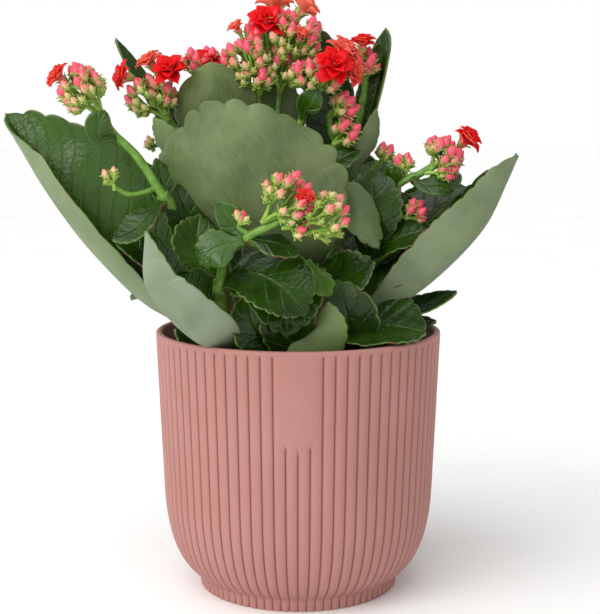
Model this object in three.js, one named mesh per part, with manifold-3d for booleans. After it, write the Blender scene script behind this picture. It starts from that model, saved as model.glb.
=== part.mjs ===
// Potted kalanchoe: a ribbed cover pot, potting soil, and a double-flowered kalanchoe of six stems,
// with its flower stalks, flower heads and fleshy leaves, each as a solid of its own.
// Millimetres, +Z up, +X to the right, -Y to the front. The origin is the middle of the pot's base.
import * as THREE from 'three';
import { mergeVertices } from 'three/addons/utils/BufferGeometryUtils.js';
import Module from 'manifold-3d';

// --- driving dimensions, mm -----------------------------------------------------------------
const CLEARANCE = 0.3;          // gap between two pieces that touch

const RIM_RADIUS = 70;          // pot, over the crests of the ribs at the rim
const POT_HEIGHT = 128;
const SHOULDER_RADIUS = 66.8;   // where the straight side ends and the belly starts
const SHOULDER_HEIGHT = 50;
const NECK_RADIUS = 50;         // waist just above the foot
const NECK_HEIGHT = 6.5;
const FOOT_RADIUS = 49.3;
const POT_WALL = 3.2;
const POT_FLOOR = 3.5;
const FLOOR_ROUND = 6;          // where the floor turns up into the wall
const LIP_BAND = 1.8;           // plain band between the ribs and the top of the rim
const LIP_ROUND = 1.2;          // rounding of the rim's edges
const RIB_COUNT = 76;
const RIB_DEPTH = 0.9;
const STRIP_HALF_WIDTH = 8.6;   // plain strip at the front, in place of three ribs
const STRIP_BOTTOM = 88;

const SOIL_BELOW_RIM = 10;
const SOIL_CROWN = 3;           // rise of the soil from the wall to the middle

const PLANT_HEIGHT = 172;       // from the soil to the highest flower
const PLANT_SPREAD = 245;       // tip to tip of the two longest leaves
const STEM_DIAMETER = 8;
const STEM_PLANTED = 22;        // length of stem in the soil
const STALK_DIAMETER = 3.8;     // of a main flower stalk
const LEAF_THICKNESS = 2.4;     // at the midrib
const LEAF_EDGE = 1.2;          // thickness of the margin

const SOIL_TOP = POT_HEIGHT - SOIL_BELOW_RIM;

// Sizes that the points of stems, stalks, heads and leaves below are written for.
const WRITTEN_HEIGHT = 172;
const WRITTEN_SPREAD = 245;
const WRITTEN_SOIL = 118;

const wasm = await Module();
wasm.setup();

// --- solids ---------------------------------------------------------------------------------
function toSolid(geometry) {
  const bare = geometry.index ? geometry.toNonIndexed() : geometry.clone();
  bare.deleteAttribute('normal');
  bare.deleteAttribute('uv');
  const merged = mergeVertices(bare, 1e-3);
  const solid = new wasm.Manifold(new wasm.Mesh({
    numProp: 3,
    vertProperties: merged.attributes.position.array,
    triVerts: new Uint32Array(merged.index.array),
  }));
  if (solid.volume() < 0) throw new Error('faces point inwards');
  return solid;
}

function toGeometry(solid) {
  const mesh = solid.getMesh();
  const geometry = new THREE.BufferGeometry();
  const points = new Float32Array(mesh.numVert * 3);
  for (let i = 0; i < mesh.numVert; i++) {
    for (let k = 0; k < 3; k++) points[3 * i + k] = mesh.vertProperties[mesh.numProp * i + k];
  }
  geometry.setAttribute('position', new THREE.BufferAttribute(points, 3));
  geometry.setIndex(new THREE.BufferAttribute(new Uint32Array(mesh.triVerts), 1));
  geometry.computeVertexNormals();
  return geometry;
}

// The part of a solid that is left outside its neighbours. Small offcuts are dropped.
function trimmed(solid, neighbours) {
  let left = solid;
  const box = solid.boundingBox();
  for (const other of neighbours) {
    const near = other.boundingBox();
    const apart = [0, 1, 2].some((k) => near.min[k] > box.max[k] || near.max[k] < box.min[k]);
    if (!apart) left = left.subtract(other);
  }
  const bodies = left.simplify(0.02).decompose();
  bodies.sort((a, b) => b.volume() - a.volume());
  return bodies[0];
}

// --- group, materials and the list of what is already in place ---------------------------------
const plant = new THREE.Group();
const placed = [];              // solids grown by the clearance, which later pieces keep out of

function finish(colour, roughness) {
  return new THREE.MeshStandardMaterial({ color: colour, roughness, metalness: 0 });
}

const POT_PLASTIC = finish('#c78d82', 0.55);
const SOIL_MIX = finish('#2a211b', 0.95);
const STEM_GREEN = finish('#5f8235', 0.5);
const STALK_GREEN = finish('#7ba043', 0.5);
const PETAL_RED = finish('#d8202a', 0.5);
const BUD_PINK = finish('#dd7f86', 0.5);
const LEAF_UNDERSIDE = finish('#7d9166', 0.6);
const LEAF_GLOSSY = finish('#2f5520', 0.3);

function addPiece(name, solid, material) {
  const mesh = new THREE.Mesh(toGeometry(solid), material.clone());
  mesh.name = name;
  plant.add(mesh);
}

// --- pot --------------------------------------------------------------------------------------
// Outer profile of the pot, [radius, height] from the base to the lip band, over the ribs' crests.
function potSide() {
  const belly = new THREE.CubicBezierCurve(
    new THREE.Vector2(NECK_RADIUS, NECK_HEIGHT),
    new THREE.Vector2(NECK_RADIUS + 9, NECK_HEIGHT + 5),
    new THREE.Vector2(SHOULDER_RADIUS - 1, SHOULDER_HEIGHT - 26),
    new THREE.Vector2(SHOULDER_RADIUS, SHOULDER_HEIGHT),
  );
  const lipBottom = POT_HEIGHT - LIP_BAND;
  const stripShare = (STRIP_BOTTOM - SHOULDER_HEIGHT) / (lipBottom - SHOULDER_HEIGHT);
  return [
    [FOOT_RADIUS, 0],
    [FOOT_RADIUS + 0.4, NECK_HEIGHT * 0.7],
    ...belly.getPoints(7).map((p) => [p.x, p.y]),
    [SHOULDER_RADIUS + (RIM_RADIUS - SHOULDER_RADIUS) * stripShare, STRIP_BOTTOM],
    [RIM_RADIUS, lipBottom],
  ];
}

// The room inside the pot up to the lip, as a profile from the middle of the floor outwards.
function roomProfile(inset) {
  const floor = POT_FLOOR + inset;
  const wall = potSide().filter(([, height]) => height > floor)
    .map(([radius, height]) => [radius - POT_WALL - inset, height]);
  return [[0, floor], [wall[0][0] - FLOOR_ROUND, floor], ...wall];
}

function lathe(profile, segments) {
  const points = profile.map(([r, z]) => new THREE.Vector2(r, z));
  return toSolid(new THREE.LatheGeometry(points, segments).rotateX(Math.PI / 2));
}

// The pot's outer form: rings of ribs, closed flat at the base and round at the rim.
function ribbedBody() {
  const segments = 2 * RIB_COUNT;
  const stripAngle = STRIP_HALF_WIDTH / RIM_RADIUS;
  const points = [];
  const triangles = [];
  const addRing = (radius, height, grooves) => {
    for (let i = 0; i < segments; i++) {
      const angle = (2 * Math.PI * i) / segments;
      const fromFront = Math.min(angle, 2 * Math.PI - angle);
      const onStrip = fromFront < stripAngle && height > STRIP_BOTTOM;
      const r = grooves && i % 2 === 1 && !onStrip ? radius - RIB_DEPTH : radius;
      points.push(new THREE.Vector3(r * Math.sin(angle), -r * Math.cos(angle), height));
    }
  };
  for (const [radius, height] of potSide()) addRing(radius, height, true);
  addRing(RIM_RADIUS, POT_HEIGHT - LIP_ROUND, false);
  addRing(RIM_RADIUS - LIP_ROUND, POT_HEIGHT, false);
  const rings = points.length / segments;
  const bottom = points.push(new THREE.Vector3(0, 0, 0)) - 1;
  const top = points.push(new THREE.Vector3(0, 0, POT_HEIGHT)) - 1;
  for (let i = 0; i < segments; i++) {
    const j = (i + 1) % segments;
    for (let k = 0; k < rings - 1; k++) {
      const [a, b] = [k * segments, (k + 1) * segments];
      triangles.push(a + i, a + j, b + j, a + i, b + j, b + i);
    }
    const last = (rings - 1) * segments;
    triangles.push(bottom, j, i, top, last + i, last + j);
  }
  const geometry = new THREE.BufferGeometry().setFromPoints(points);
  geometry.setIndex(triangles);
  return toSolid(geometry);
}

function makePot() {
  const mouth = RIM_RADIUS - POT_WALL;
  const overRim = POT_HEIGHT + 1;
  const cavity = (inset) => lathe([
    ...roomProfile(inset),
    [mouth - inset, POT_HEIGHT - LIP_ROUND],
    [mouth - inset + LIP_ROUND + 1, overRim],
    [0, overRim],
  ], 48);
  addPiece('pot', ribbedBody().subtract(cavity(0)), POT_PLASTIC);

  // A plain copy, larger by the clearance all over, keeps the plant out of the wall.
  const outside = potSide().map(([r, h]) => [r + CLEARANCE, h]);
  const grown = lathe([
    [0, -CLEARANCE], [FOOT_RADIUS + CLEARANCE, -CLEARANCE], ...outside,
    [RIM_RADIUS + CLEARANCE, POT_HEIGHT + CLEARANCE], [0, POT_HEIGHT + CLEARANCE],
  ], 48);
  placed.push(grown.subtract(cavity(CLEARANCE)));
}

// --- plant space: the written points, scaled to the plant's own size ---------------------------
function at([x, y, z]) {
  const across = PLANT_SPREAD / WRITTEN_SPREAD;
  const up = z > WRITTEN_SOIL ? PLANT_HEIGHT / WRITTEN_HEIGHT : 1;
  return new THREE.Vector3(x * across, y * across, SOIL_TOP + (z - WRITTEN_SOIL) * up);
}

function smoothCurve(points) {
  return new THREE.CatmullRomCurve3(points, false, 'centripetal');
}

// A round rod along a curve, longer by grow at both ends and thicker by grow all round.
function rod(curve, diameter, steps, grow = 0) {
  const radius = diameter / 2 + grow;
  const section = new THREE.Shape();
  section.absarc(0, 0, radius, 0, 2 * Math.PI, false);
  const points = curve.getPoints(steps);
  if (grow > 0) {
    points[0].addScaledVector(curve.getTangent(0), -grow);
    points[steps].addScaledVector(curve.getTangent(1), grow);
  }
  const path = smoothCurve(points);
  const geometry = new THREE.ExtrudeGeometry(section, {
    steps, curveSegments: 4, extrudePath: path, bevelEnabled: false,
  });
  return toSolid(geometry);
}

// --- soil and stems -----------------------------------------------------------------------------
// Each stem: points up its middle. The first lies in the soil.
const STEMS = {
  centre: [[-9, 4, 118], [-10, 3, 150], [-10, 2, 178], [-9, 2, 205]],
  left: [[-26, -4, 118], [-38, -10, 148], [-50, -22, 174], [-63, -34, 196]],
  front: [[-28, -34, 118], [-34, -44, 136], [-36, -49, 158]],
  right: [[18, 2, 118], [27, 0, 146], [35, 0, 172], [42, 0, 195]],
  back: [[10, 30, 118], [16, 30, 150], [22, 27, 178], [28, 23, 205]],
  back_left: [[-24, 30, 118], [-36, 26, 150], [-46, 18, 182], [-54, 8, 214]],
};

const stemCurves = {};

function makeSoilAndStems() {
  const stems = [];
  for (const [name, written] of Object.entries(STEMS)) {
    const points = written.map(at);
    points.unshift(points[0].clone().setZ(SOIL_TOP - STEM_PLANTED));
    stemCurves[name] = smoothCurve(points);
    stems.push([name, rod(stemCurves[name], STEM_DIAMETER, 7)]);
  }
  const grown = Object.keys(STEMS).map((name) => rod(stemCurves[name], STEM_DIAMETER, 7, CLEARANCE));

  // A plain drum of soil, which the pot's wall then cuts to the shape of the room inside.
  const soil = lathe([
    [0, POT_FLOOR], [RIM_RADIUS - 1, POT_FLOOR], [RIM_RADIUS - 1, SOIL_TOP],
    [RIM_RADIUS * 0.6, SOIL_TOP + SOIL_CROWN * 0.7], [0, SOIL_TOP + SOIL_CROWN],
  ], 24);
  addPiece('soil', trimmed(soil, [...placed, ...grown]), SOIL_MIX);
  placed.push(soil.translate([0, 0, CLEARANCE]));

  stems.forEach(([name, solid], i) => {
    addPiece(`stem_${name}`, trimmed(solid, grown.slice(0, i)), STEM_GREEN);
    placed.push(grown[i]);
  });
}

// The point on a stem's middle at a written height.
function onStem(name, height) {
  const curve = stemCurves[name];
  const wanted = at([0, 0, height]).z;
  let [low, high] = [0, 1];
  for (let k = 0; k < 24; k++) {
    const middle = (low + high) / 2;
    if (curve.getPoint(middle).z < wanted) low = middle;
    else high = middle;
  }
  return curve.getPoint(low);
}

// --- flower stalks ------------------------------------------------------------------------------
// Each stalk: the stem and height it leaves from, then the points of its branches. A branch that
// starts with a number leaves the main branch at that share of its length.
const STALKS = {
  left: { stem: 'left', height: 194, branches: [
    [[-75, -33, 214], [-86, -32, 225], [-91, -31, 234]],
    [0.08, [-77, -38, 196], [-85, -40, 200]]] },
  upper_left: { stem: 'back_left', height: 212, branches: [
    [[-58, 0, 223], [-64, -8, 233]]] },
  upper_back: { stem: 'back_left', height: 200, branches: [
    [[-49, 9, 225], [-46, 6, 240], [-46, 5, 252]]] },
  middle: { stem: 'centre', height: 203, branches: [
    [[-12, 3, 217], [-18, 1, 229], [-20, 0, 243]],
    [0.2, [-10, 5, 222], [-10, 5, 234], [-9, 6, 246]]] },
  right_of_middle: { stem: 'centre', height: 200, branches: [
    [[-4, 0, 217], [1, -1, 229], [7, -3, 242]]] },
  upper_right: { stem: 'back', height: 198, branches: [
    [[22, 12, 212], [16, 5, 226], [15, 4, 234]],
    [0.3, [16, 6, 214], [18, 0, 221]]] },
  back: { stem: 'back', height: 203, branches: [
    [[30, 23, 225], [33, 24, 242], [34, 25, 254]]] },
  right_back: { stem: 'back', height: 190, branches: [
    [[30, 20, 196], [36, 15, 203], [40, 14, 210]]] },
  right: { stem: 'right', height: 193, branches: [
    [[51, -4, 201], [58, -6, 204], [66, -7, 209]],
    [0.45, [50, -3, 207]],
    [0.05, [48, -6, 184], [54, -8, 184]]] },
  front: { stem: 'front', height: 155, branches: [
    [[-33, -54, 168], [-23, -61, 178], [-12, -65, 184], [-6, -67, 187]],
    [0.55, [-25, -62, 186]]] },
};

function makeStalks() {
  for (const [name, { stem, height, branches }] of Object.entries(STALKS)) {
    const main = smoothCurve([onStem(stem, height), ...branches[0].map(at)]);
    const build = (grow) => {
      let whole = rod(main, STALK_DIAMETER, 7, grow);
      for (const [share, ...written] of branches.slice(1)) {
        const side = smoothCurve([main.getPoint(share), ...written.map(at)]);
        whole = whole.add(rod(side, STALK_DIAMETER * 0.75, 5, grow));
      }
      return whole;
    };
    addPiece(`flower_stalk_${name}`, trimmed(build(0), placed), STALK_GREEN);
    placed.push(build(CLEARANCE));
  }
}

// --- flower heads -------------------------------------------------------------------------------
// Each head: where its base and its crown lie, and its greatest radius. It widens from the base
// and closes over the crown in a lumpy dome of buds.
const HEADS = {
  left: { base: [-90, -31, 231], crown: [-109, -30, 254], radius: 12, open: true },
  small_left: { base: [-84, -40, 199], crown: [-87, -40, 211], radius: 4.5, open: false },
  upper_left: { base: [-63, -7, 231], crown: [-85, -12, 255], radius: 14, open: true },
  upper_back: { base: [-46, 5, 249], crown: [-49, 5, 272], radius: 12, open: true },
  top_left: { base: [-20, 0, 241], crown: [-26, -1, 276], radius: 14, open: false },
  top: { base: [-9, 6, 244], crown: [-7, 10, 289], radius: 16, open: true },
  top_right: { base: [6, -3, 240], crown: [22, -8, 269], radius: 13, open: true },
  right_of_top: { base: [15, 4, 232], crown: [30, 3, 245], radius: 9, open: false },
  small_right: { base: [18, 0, 219], crown: [29, -6, 231], radius: 7, open: false },
  back: { base: [34, 25, 251], crown: [34, 26, 273], radius: 9, open: true },
  right_back: { base: [40, 14, 208], crown: [46, 13, 221], radius: 6, open: false },
  right: { base: [64, -7, 207], crown: [82, -9, 224], radius: 12, open: true },
  front: { base: [-14, -65, 183], crown: [24, -72, 188], radius: 20, open: false },
};

function head({ base, crown, radius }, grow) {
  const [foot, top] = [at(base), at(crown)];
  const axis = top.clone().sub(foot);
  const length = axis.length();
  const across = 9;
  const profile = [0.15, 0.5, 0.82, 1, 0.97, 0.72];
  const points = [new THREE.Vector2(0, -grow)];
  profile.forEach((share, i) => {
    points.push(new THREE.Vector2(share * radius + grow, (length * i) / profile.length));
  });
  points.push(new THREE.Vector2(0, length + grow));
  const geometry = new THREE.LatheGeometry(points, across);
  const position = geometry.attributes.position;
  const spot = new THREE.Vector3();
  for (let i = 0; i < position.count; i++) {
    spot.fromBufferAttribute(position, i);
    const angle = Math.atan2(spot.z, spot.x);
    const lump = 1 + 0.08 * Math.cos(3 * angle + spot.y * 0.4);
    position.setXYZ(i, spot.x * lump, spot.y, spot.z * lump);
  }
  geometry.applyQuaternion(
    new THREE.Quaternion().setFromUnitVectors(new THREE.Vector3(0, 1, 0), axis.normalize()),
  );
  geometry.translate(foot.x, foot.y, foot.z);
  return toSolid(geometry);
}

function makeHeads() {
  for (const [name, spec] of Object.entries(HEADS)) {
    const solid = trimmed(head(spec, 0), placed);
    addPiece(`flower_head_${name}`, solid, spec.open ? PETAL_RED : BUD_PINK);
    placed.push(head(spec, CLEARANCE));
  }
}

// --- leaves -------------------------------------------------------------------------------------
// Each leaf: the stem and height that its stalk leaves from, three points along its midrib to the
// tip, the way its upper face looks, its half width, where along it is widest, the fold at the
// midrib and the further bend of each half in degrees, and how much of it shows its pale underside.
const LEAVES = {
  front_broad: { stem: 'centre', height: 146, rib: [[-15, -30, 175], [-25, -42, 208], [-39, -44, 240]],
    up: [0.15, 1, 0.3], half: 49, widest: 0.62, fold: 4, bend: 36, pale: true },
  left_large: { stem: 'left', height: 124, rib: [[-70, -16, 141], [-112, -22, 188], [-139, -12, 232]],
    up: [0.5, -0.7, 0.5], half: 48, widest: 0.52, fold: 34, bend: 34, near: 0.62 },
  front_left: { stem: 'front', height: 121, rib: [[-47, -60, 132], [-67, -64, 156], [-67, -61, 181]],
    up: [0.62, 0.12, 0.78], half: 30, widest: 0.42, fold: 54, bend: 14, pale: true },
  right_large: { stem: 'right', height: 130, rib: [[53, -22, 146], [87, -21, 178], [105, -8, 213]],
    up: [-0.69, 0.25, 0.72], half: 29, widest: 0.5, fold: 52, bend: 16, pale: true },
  front_round: { stem: 'front', height: 153, rib: [[-22, -57, 161], [-8, -64, 156], [3, -67, 145]],
    up: [0.1, -0.72, 0.68], half: 19, widest: 0.58, fold: 2, bend: 26 },
  front_lower: { stem: 'centre', height: 150, rib: [[-7, -28, 160], [-6, -45, 151], [-5, -52, 133]],
    up: [0, -0.5, 0.85], half: 20, widest: 0.6, fold: 4, bend: 24 },
  right_low_glossy: { stem: 'right', height: 126, rib: [[30, -30, 135], [46, -41, 138], [61, -46, 136]],
    up: [0.05, -0.5, 0.85], half: 21, widest: 0.55, fold: 4, bend: 20 },
  front_rim: { stem: 'front', height: 120, rib: [[0, -46, 125], [9, -49, 136], [6, -44, 148]],
    up: [0.3, 0.9, 0.2], half: 15, widest: 0.5, fold: 6, bend: 24, pale: true },
  left_inner: { stem: 'left', height: 146, rib: [[-58, -20, 158], [-74, -24, 168], [-86, -24, 178]],
    up: [0.4, -0.6, 0.65], half: 15, widest: 0.55, fold: 14, bend: 20 },
  front_crenate: { stem: 'front', height: 144, rib: [[-42, -42, 162], [-47, -38, 174], [-46, -34, 186]],
    up: [0.3, -0.9, 0.2], half: 13, widest: 0.6, fold: 8, bend: 20 },
  left_veined: { stem: 'left', height: 193, rib: [[-68, -42, 187], [-75, -45, 180], [-84, -47, 176]],
    up: [-0.2, -0.7, 0.7], half: 8.5, widest: 0.6, fold: 8, bend: 20 },
  left_shaded: { stem: 'left', height: 160, rib: [[-48, -26, 178], [-53, -29, 190], [-57, -30, 200]],
    up: [0.2, -0.9, 0.3], half: 13, widest: 0.5, fold: 8, bend: 16 },
  right_pointing: { stem: 'right', height: 122, rib: [[46, -9, 136], [62, -10, 141], [77, -8, 147]],
    up: [-0.2, -0.5, 0.85], half: 8, widest: 0.55, fold: 12, bend: 20 },
  right_crenate: { stem: 'centre', height: 140, rib: [[8, -14, 150], [23, -27, 156], [35, -34, 164]],
    up: [0, -0.8, 0.6], half: 15, widest: 0.62, fold: 6, bend: 20 },
  right_pale: { stem: 'centre', height: 190, rib: [[8, -9, 197], [26, -14, 190], [38, -18, 170]],
    up: [-0.4, 0.6, 0.5], half: 10, widest: 0.7, fold: 8, bend: 24, pale: true },
  right_dark: { stem: 'right', height: 158, rib: [[35, -7, 176], [36, -9, 192], [35, -7, 206]],
    up: [0, -1, 0.2], half: 15, widest: 0.6, fold: 6, bend: 16 },
  right_hanging: { stem: 'right', height: 190, rib: [[49, -3, 190], [52, -5, 181], [50, -5, 170]],
    up: [0.3, -0.9, 0.3], half: 9, widest: 0.55, fold: 4, bend: 18 },
  right_behind: { stem: 'right', height: 160, rib: [[52, 8, 174], [70, 12, 186], [87, 15, 196]],
    up: [-0.3, -0.6, 0.7], half: 17, widest: 0.55, fold: 8, bend: 18 },
  right_wrinkled: { stem: 'right', height: 154, rib: [[44, -11, 170], [54, -15, 175], [66, -15, 178]],
    up: [0.1, -0.6, 0.8], half: 11, widest: 0.55, fold: 8, bend: 18 },
  upper_behind: { stem: 'back_left', height: 192, rib: [[-45, -1, 214], [-44, -9, 238], [-46, -11, 257]],
    up: [0, 1, 0.25], half: 17, widest: 0.62, fold: 4, bend: 26, pale: true },
  upper_left_narrow: { stem: 'back_left', height: 208, rib: [[-66, 10, 230], [-78, 11, 250], [-89, 10, 269]],
    up: [0.6, -0.8, 0.4], half: 8, widest: 0.5, fold: 20, bend: 20 },
  upper_right_tall: { stem: 'back', height: 196, rib: [[35, 22, 226], [42, 25, 252], [44, 26, 275]],
    up: [-0.6, -0.6, 0.3], half: 11, widest: 0.55, fold: 14, bend: 20 },
  top_back: { stem: 'back', height: 180, rib: [[20, 36, 212], [15, 38, 244], [12, 36, 275]],
    up: [0, -1, 0.2], half: 15, widest: 0.55, fold: 10, bend: 18 },
  back_broad: { stem: 'back', height: 138, rib: [[14, 56, 162], [16, 70, 192], [12, 76, 222]],
    up: [0, -1, 0.35], half: 34, widest: 0.6, fold: 6, bend: 30 },
  back_left_large: { stem: 'back_left', height: 140, rib: [[-58, 48, 158], [-80, 60, 184], [-94, 62, 208]],
    up: [0.5, -0.6, 0.5], half: 27, widest: 0.55, fold: 12, bend: 26 },
  back_right_large: { stem: 'back', height: 130, rib: [[46, 44, 150], [70, 54, 176], [84, 56, 204]],
    up: [-0.5, -0.6, 0.6], half: 26, widest: 0.55, fold: 12, bend: 26 },
  back_low: { stem: 'back', height: 122, rib: [[-8, 54, 137], [-14, 74, 142], [-18, 88, 135]],
    up: [0, 0.3, 1], half: 18, widest: 0.58, fold: 8, bend: 20 },
  back_left_low: { stem: 'back_left', height: 126, rib: [[-52, 28, 137], [-72, 34, 143], [-87, 38, 138]],
    up: [-0.2, 0.1, 1], half: 17, widest: 0.58, fold: 8, bend: 20 },
  back_upper: { stem: 'centre', height: 184, rib: [[-10, 28, 200], [-14, 44, 222], [-18, 50, 240]],
    up: [0, -0.7, 0.6], half: 17, widest: 0.58, fold: 8, bend: 22 },
};

const PETIOLE_HALF_WIDTH = 2.6;

// Half width at a share of the leaf's length: a thin stalk, a swelling blade and a blunt tip.
function halfWidth(share, half, widest) {
  const rise = Math.sin((Math.PI / 2) * Math.min(share / widest, 1)) ** 1.5;
  const fall = Math.cos((Math.PI / 2) * Math.max((share - widest) / (1 - widest), 0)) ** 0.6;
  return Math.max(half * rise * fall, PETIOLE_HALF_WIDTH);
}

function leaf(spec, grow) {
  const rows = spec.half > 25 ? 8 : 6;
  const columns = spec.half > 25 ? 6 : 4;
  const base = onStem(spec.stem, spec.height);
  const curve = smoothCurve([base, ...spec.rib.map(at)]);
  const up = new THREE.Vector3(...spec.up);
  const faces = [[], []];
  for (let i = 0; i <= rows; i++) {
    const share = i / rows;
    const middle = curve.getPoint(share);
    const along = curve.getTangent(share);
    const normal = up.clone().addScaledVector(along, -up.dot(along)).normalize();
    const side = along.clone().cross(normal);
    if (i === 0) middle.addScaledVector(along, -grow);
    if (i === rows) middle.addScaledVector(along, grow);
    const width = halfWidth(share, spec.half, spec.widest);
    // A narrow stalk or tip can't fold as far as the blade.
    const foldable = Math.min(width / 12, 1);
    const fold = THREE.MathUtils.degToRad(spec.fold) * foldable;
    const bend = THREE.MathUtils.degToRad(spec.bend) * foldable + 1e-4;
    for (let j = 0; j <= columns; j++) {
      const v = (2 * j) / columns - 1;
      const reach = Math.abs(v) * (width * (v < 0 ? spec.near ?? 1 : 1) + grow);
      const turn = fold + bend * Math.abs(v);
      const out = (reach * (Math.sin(turn) - Math.sin(fold))) / (bend * Math.abs(v) || 1);
      const lift = (reach * (Math.cos(fold) - Math.cos(turn))) / (bend * Math.abs(v) || 1);
      const centre = middle.clone().addScaledVector(side, Math.sign(v) * out);
      centre.addScaledVector(normal, lift);
      const thick = (LEAF_THICKNESS + (LEAF_EDGE - LEAF_THICKNESS) * v * v) / 2 + grow;
      const face = normal.clone().multiplyScalar(v === 0 ? 1 : Math.cos(turn));
      if (v !== 0) face.addScaledVector(side, -Math.sign(v) * Math.sin(turn));
      faces[0].push(centre.clone().addScaledVector(face, thick));
      faces[1].push(centre.clone().addScaledVector(face, -thick));
    }
  }
  return toSolid(closedSheet(faces[0], faces[1], rows, columns));
}

// Closes two grids of points, an upper and a lower one, into one shell.
function closedSheet(upper, lower, rows, columns) {
  const width = columns + 1;
  const count = upper.length;
  const triangles = [];
  const quad = (a, b, c, d) => triangles.push(a, b, c, a, c, d);
  for (let i = 0; i < rows; i++) {
    for (let j = 0; j < columns; j++) {
      const k = i * width + j;
      quad(k, k + 1, k + width + 1, k + width);
      quad(count + k, count + k + width, count + k + width + 1, count + k + 1);
    }
    const left = i * width;
    quad(left, left + width, count + left + width, count + left);
    const right = left + columns;
    quad(right, count + right, count + right + width, right + width);
  }
  for (let j = 0; j < columns; j++) {
    quad(j, count + j, count + j + 1, j + 1);
    const k = rows * width + j;
    quad(k, k + 1, count + k + 1, count + k);
  }
  const geometry = new THREE.BufferGeometry().setFromPoints([...upper, ...lower]);
  geometry.setIndex(triangles);
  return geometry;
}

function makeLeaves() {
  for (const [name, spec] of Object.entries(LEAVES)) {
    const solid = trimmed(leaf(spec, 0), placed);
    addPiece(`leaf_${name}`, solid, spec.pale ? LEAF_UNDERSIDE : LEAF_GLOSSY);
    placed.push(leaf(spec, CLEARANCE));
  }
}

makePot();
makeSoilAndStems();
makeStalks();
makeHeads();
makeLeaves();

export default plant;
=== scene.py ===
"""Potted kalanchoe: the visual model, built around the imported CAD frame.

A ribbed plastic cover pot, potting mix, and a double-flowered kalanchoe of six stems with its
flower stalks, flower heads and fleshy leaves. Blender works in metres. The plant's own points are
written in millimetres, in the CAD frame: +Z up, +X to the right, -Y to the front, and the origin
in the middle of the pot's base.
"""
import logging
import math
import random
from dataclasses import dataclass, field
from enum import Enum
from typing import Iterable

import bmesh
import bpy
import numpy as np
from mathutils import Matrix, Vector, noise


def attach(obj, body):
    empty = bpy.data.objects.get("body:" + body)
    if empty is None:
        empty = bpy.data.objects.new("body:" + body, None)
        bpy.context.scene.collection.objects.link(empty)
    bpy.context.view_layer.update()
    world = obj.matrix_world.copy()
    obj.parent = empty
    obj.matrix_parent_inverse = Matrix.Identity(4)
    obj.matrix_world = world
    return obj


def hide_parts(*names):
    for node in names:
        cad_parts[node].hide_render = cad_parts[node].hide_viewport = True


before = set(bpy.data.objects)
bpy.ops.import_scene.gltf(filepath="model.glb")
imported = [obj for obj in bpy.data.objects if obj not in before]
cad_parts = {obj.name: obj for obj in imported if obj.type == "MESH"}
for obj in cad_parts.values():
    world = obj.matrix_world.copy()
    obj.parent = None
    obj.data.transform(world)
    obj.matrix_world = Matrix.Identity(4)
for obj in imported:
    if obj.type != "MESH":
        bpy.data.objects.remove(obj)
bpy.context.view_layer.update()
bpy.ops.object.select_all(action="DESELECT")

LOG = logging.getLogger("kalanchoe")
MM = 0.001
GOLDEN_ANGLE = math.radians(137.508)
Point = tuple[float, float, float]
Colour = tuple[float, float, float, float]
Ring = tuple[float, float, float]       # radius, height, and share of the full depth of the ribs
Piece = bpy.types.Object
Material = bpy.types.Material
Tree = bpy.types.NodeTree
Socket = bpy.types.NodeSocket


# --- small helpers ------------------------------------------------------------------------------
def srgb(code: str) -> Colour:
    """Turns an sRGB hex colour to the linear one that shaders use.

    Args:
        code: The colour as "#rrggbb".

    Returns:
        The linear colour with alpha 1.
    """
    parts = [int(code[i:i + 2], 16) / 255 for i in (1, 3, 5)]
    linear = [c / 12.92 if c <= 0.04045 else ((c + 0.055) / 1.055) ** 2.4 for c in parts]
    return (*linear, 1.0)


def smooth_step(low: float, high: float, value: float | np.ndarray) -> float | np.ndarray:
    """Eases from 0 at low to 1 at high; works on numbers and on arrays."""
    share = np.clip((value - low) / (high - low), 0.0, 1.0)
    return share * share * (3 - 2 * share)


def add_node(
    tree: Tree, kind: str, settings: dict | None = None, links: dict | None = None,
) -> bpy.types.Node:
    """Adds a node to a tree with its settings and its incoming links.

    Args:
        tree: The node tree.
        kind: The node's type, without the leading "ShaderNode".
        settings: Values by attribute name, or by input name or number.
        links: Output sockets by input name or number.

    Returns:
        The new node.
    """
    node = tree.nodes.new("ShaderNode" + kind)
    for key, value in (settings or {}).items():
        if isinstance(key, str) and hasattr(node, key):
            setattr(node, key, value)
        else:
            node.inputs[key].default_value = value
    for key, socket in (links or {}).items():
        tree.links.new(socket, node.inputs[key])
    return node


def active_piece(name: str) -> Piece:
    """Names the object that an operator has just added, and its mesh, and returns it."""
    piece = bpy.context.object
    piece.name = name
    piece.data.name = name
    return piece


def select_only(pieces: Iterable[Piece]) -> None:
    """Selects some objects and makes the first of them active."""
    bpy.ops.object.select_all(action="DESELECT")
    for index, piece in enumerate(pieces):
        piece.select_set(True)
        if index == 0:
            bpy.context.view_layer.objects.active = piece


def apply_modifiers(piece: Piece) -> None:
    """Applies every modifier of a piece, first to last."""
    select_only([piece])
    for modifier in list(piece.modifiers):
        bpy.ops.object.modifier_apply(modifier=modifier.name)


def shade_smooth(piece: Piece) -> None:
    """Smooth-shades a whole piece."""
    piece.data.polygons.foreach_set("use_smooth", [True] * len(piece.data.polygons))


def face_outwards() -> None:
    """Turns every face of the mesh in edit mode outwards, then leaves edit mode."""
    bpy.ops.mesh.select_all(action="SELECT")
    bpy.ops.mesh.normals_make_consistent(inside=False)
    bpy.ops.object.mode_set(mode="OBJECT")


def add_flesh(piece: Piece, thickness: float, skins: Iterable[Material]) -> bpy.types.Modifier:
    """Thickens a blade to both sides. Its skins are those of the face, the back and the edge."""
    for skin in skins:
        piece.data.materials.append(skin)
    flesh = piece.modifiers.new("flesh", "SOLIDIFY")
    flesh.thickness = thickness
    flesh.offset = 0
    flesh.material_offset = 1
    flesh.material_offset_rim = 2
    return flesh


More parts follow.
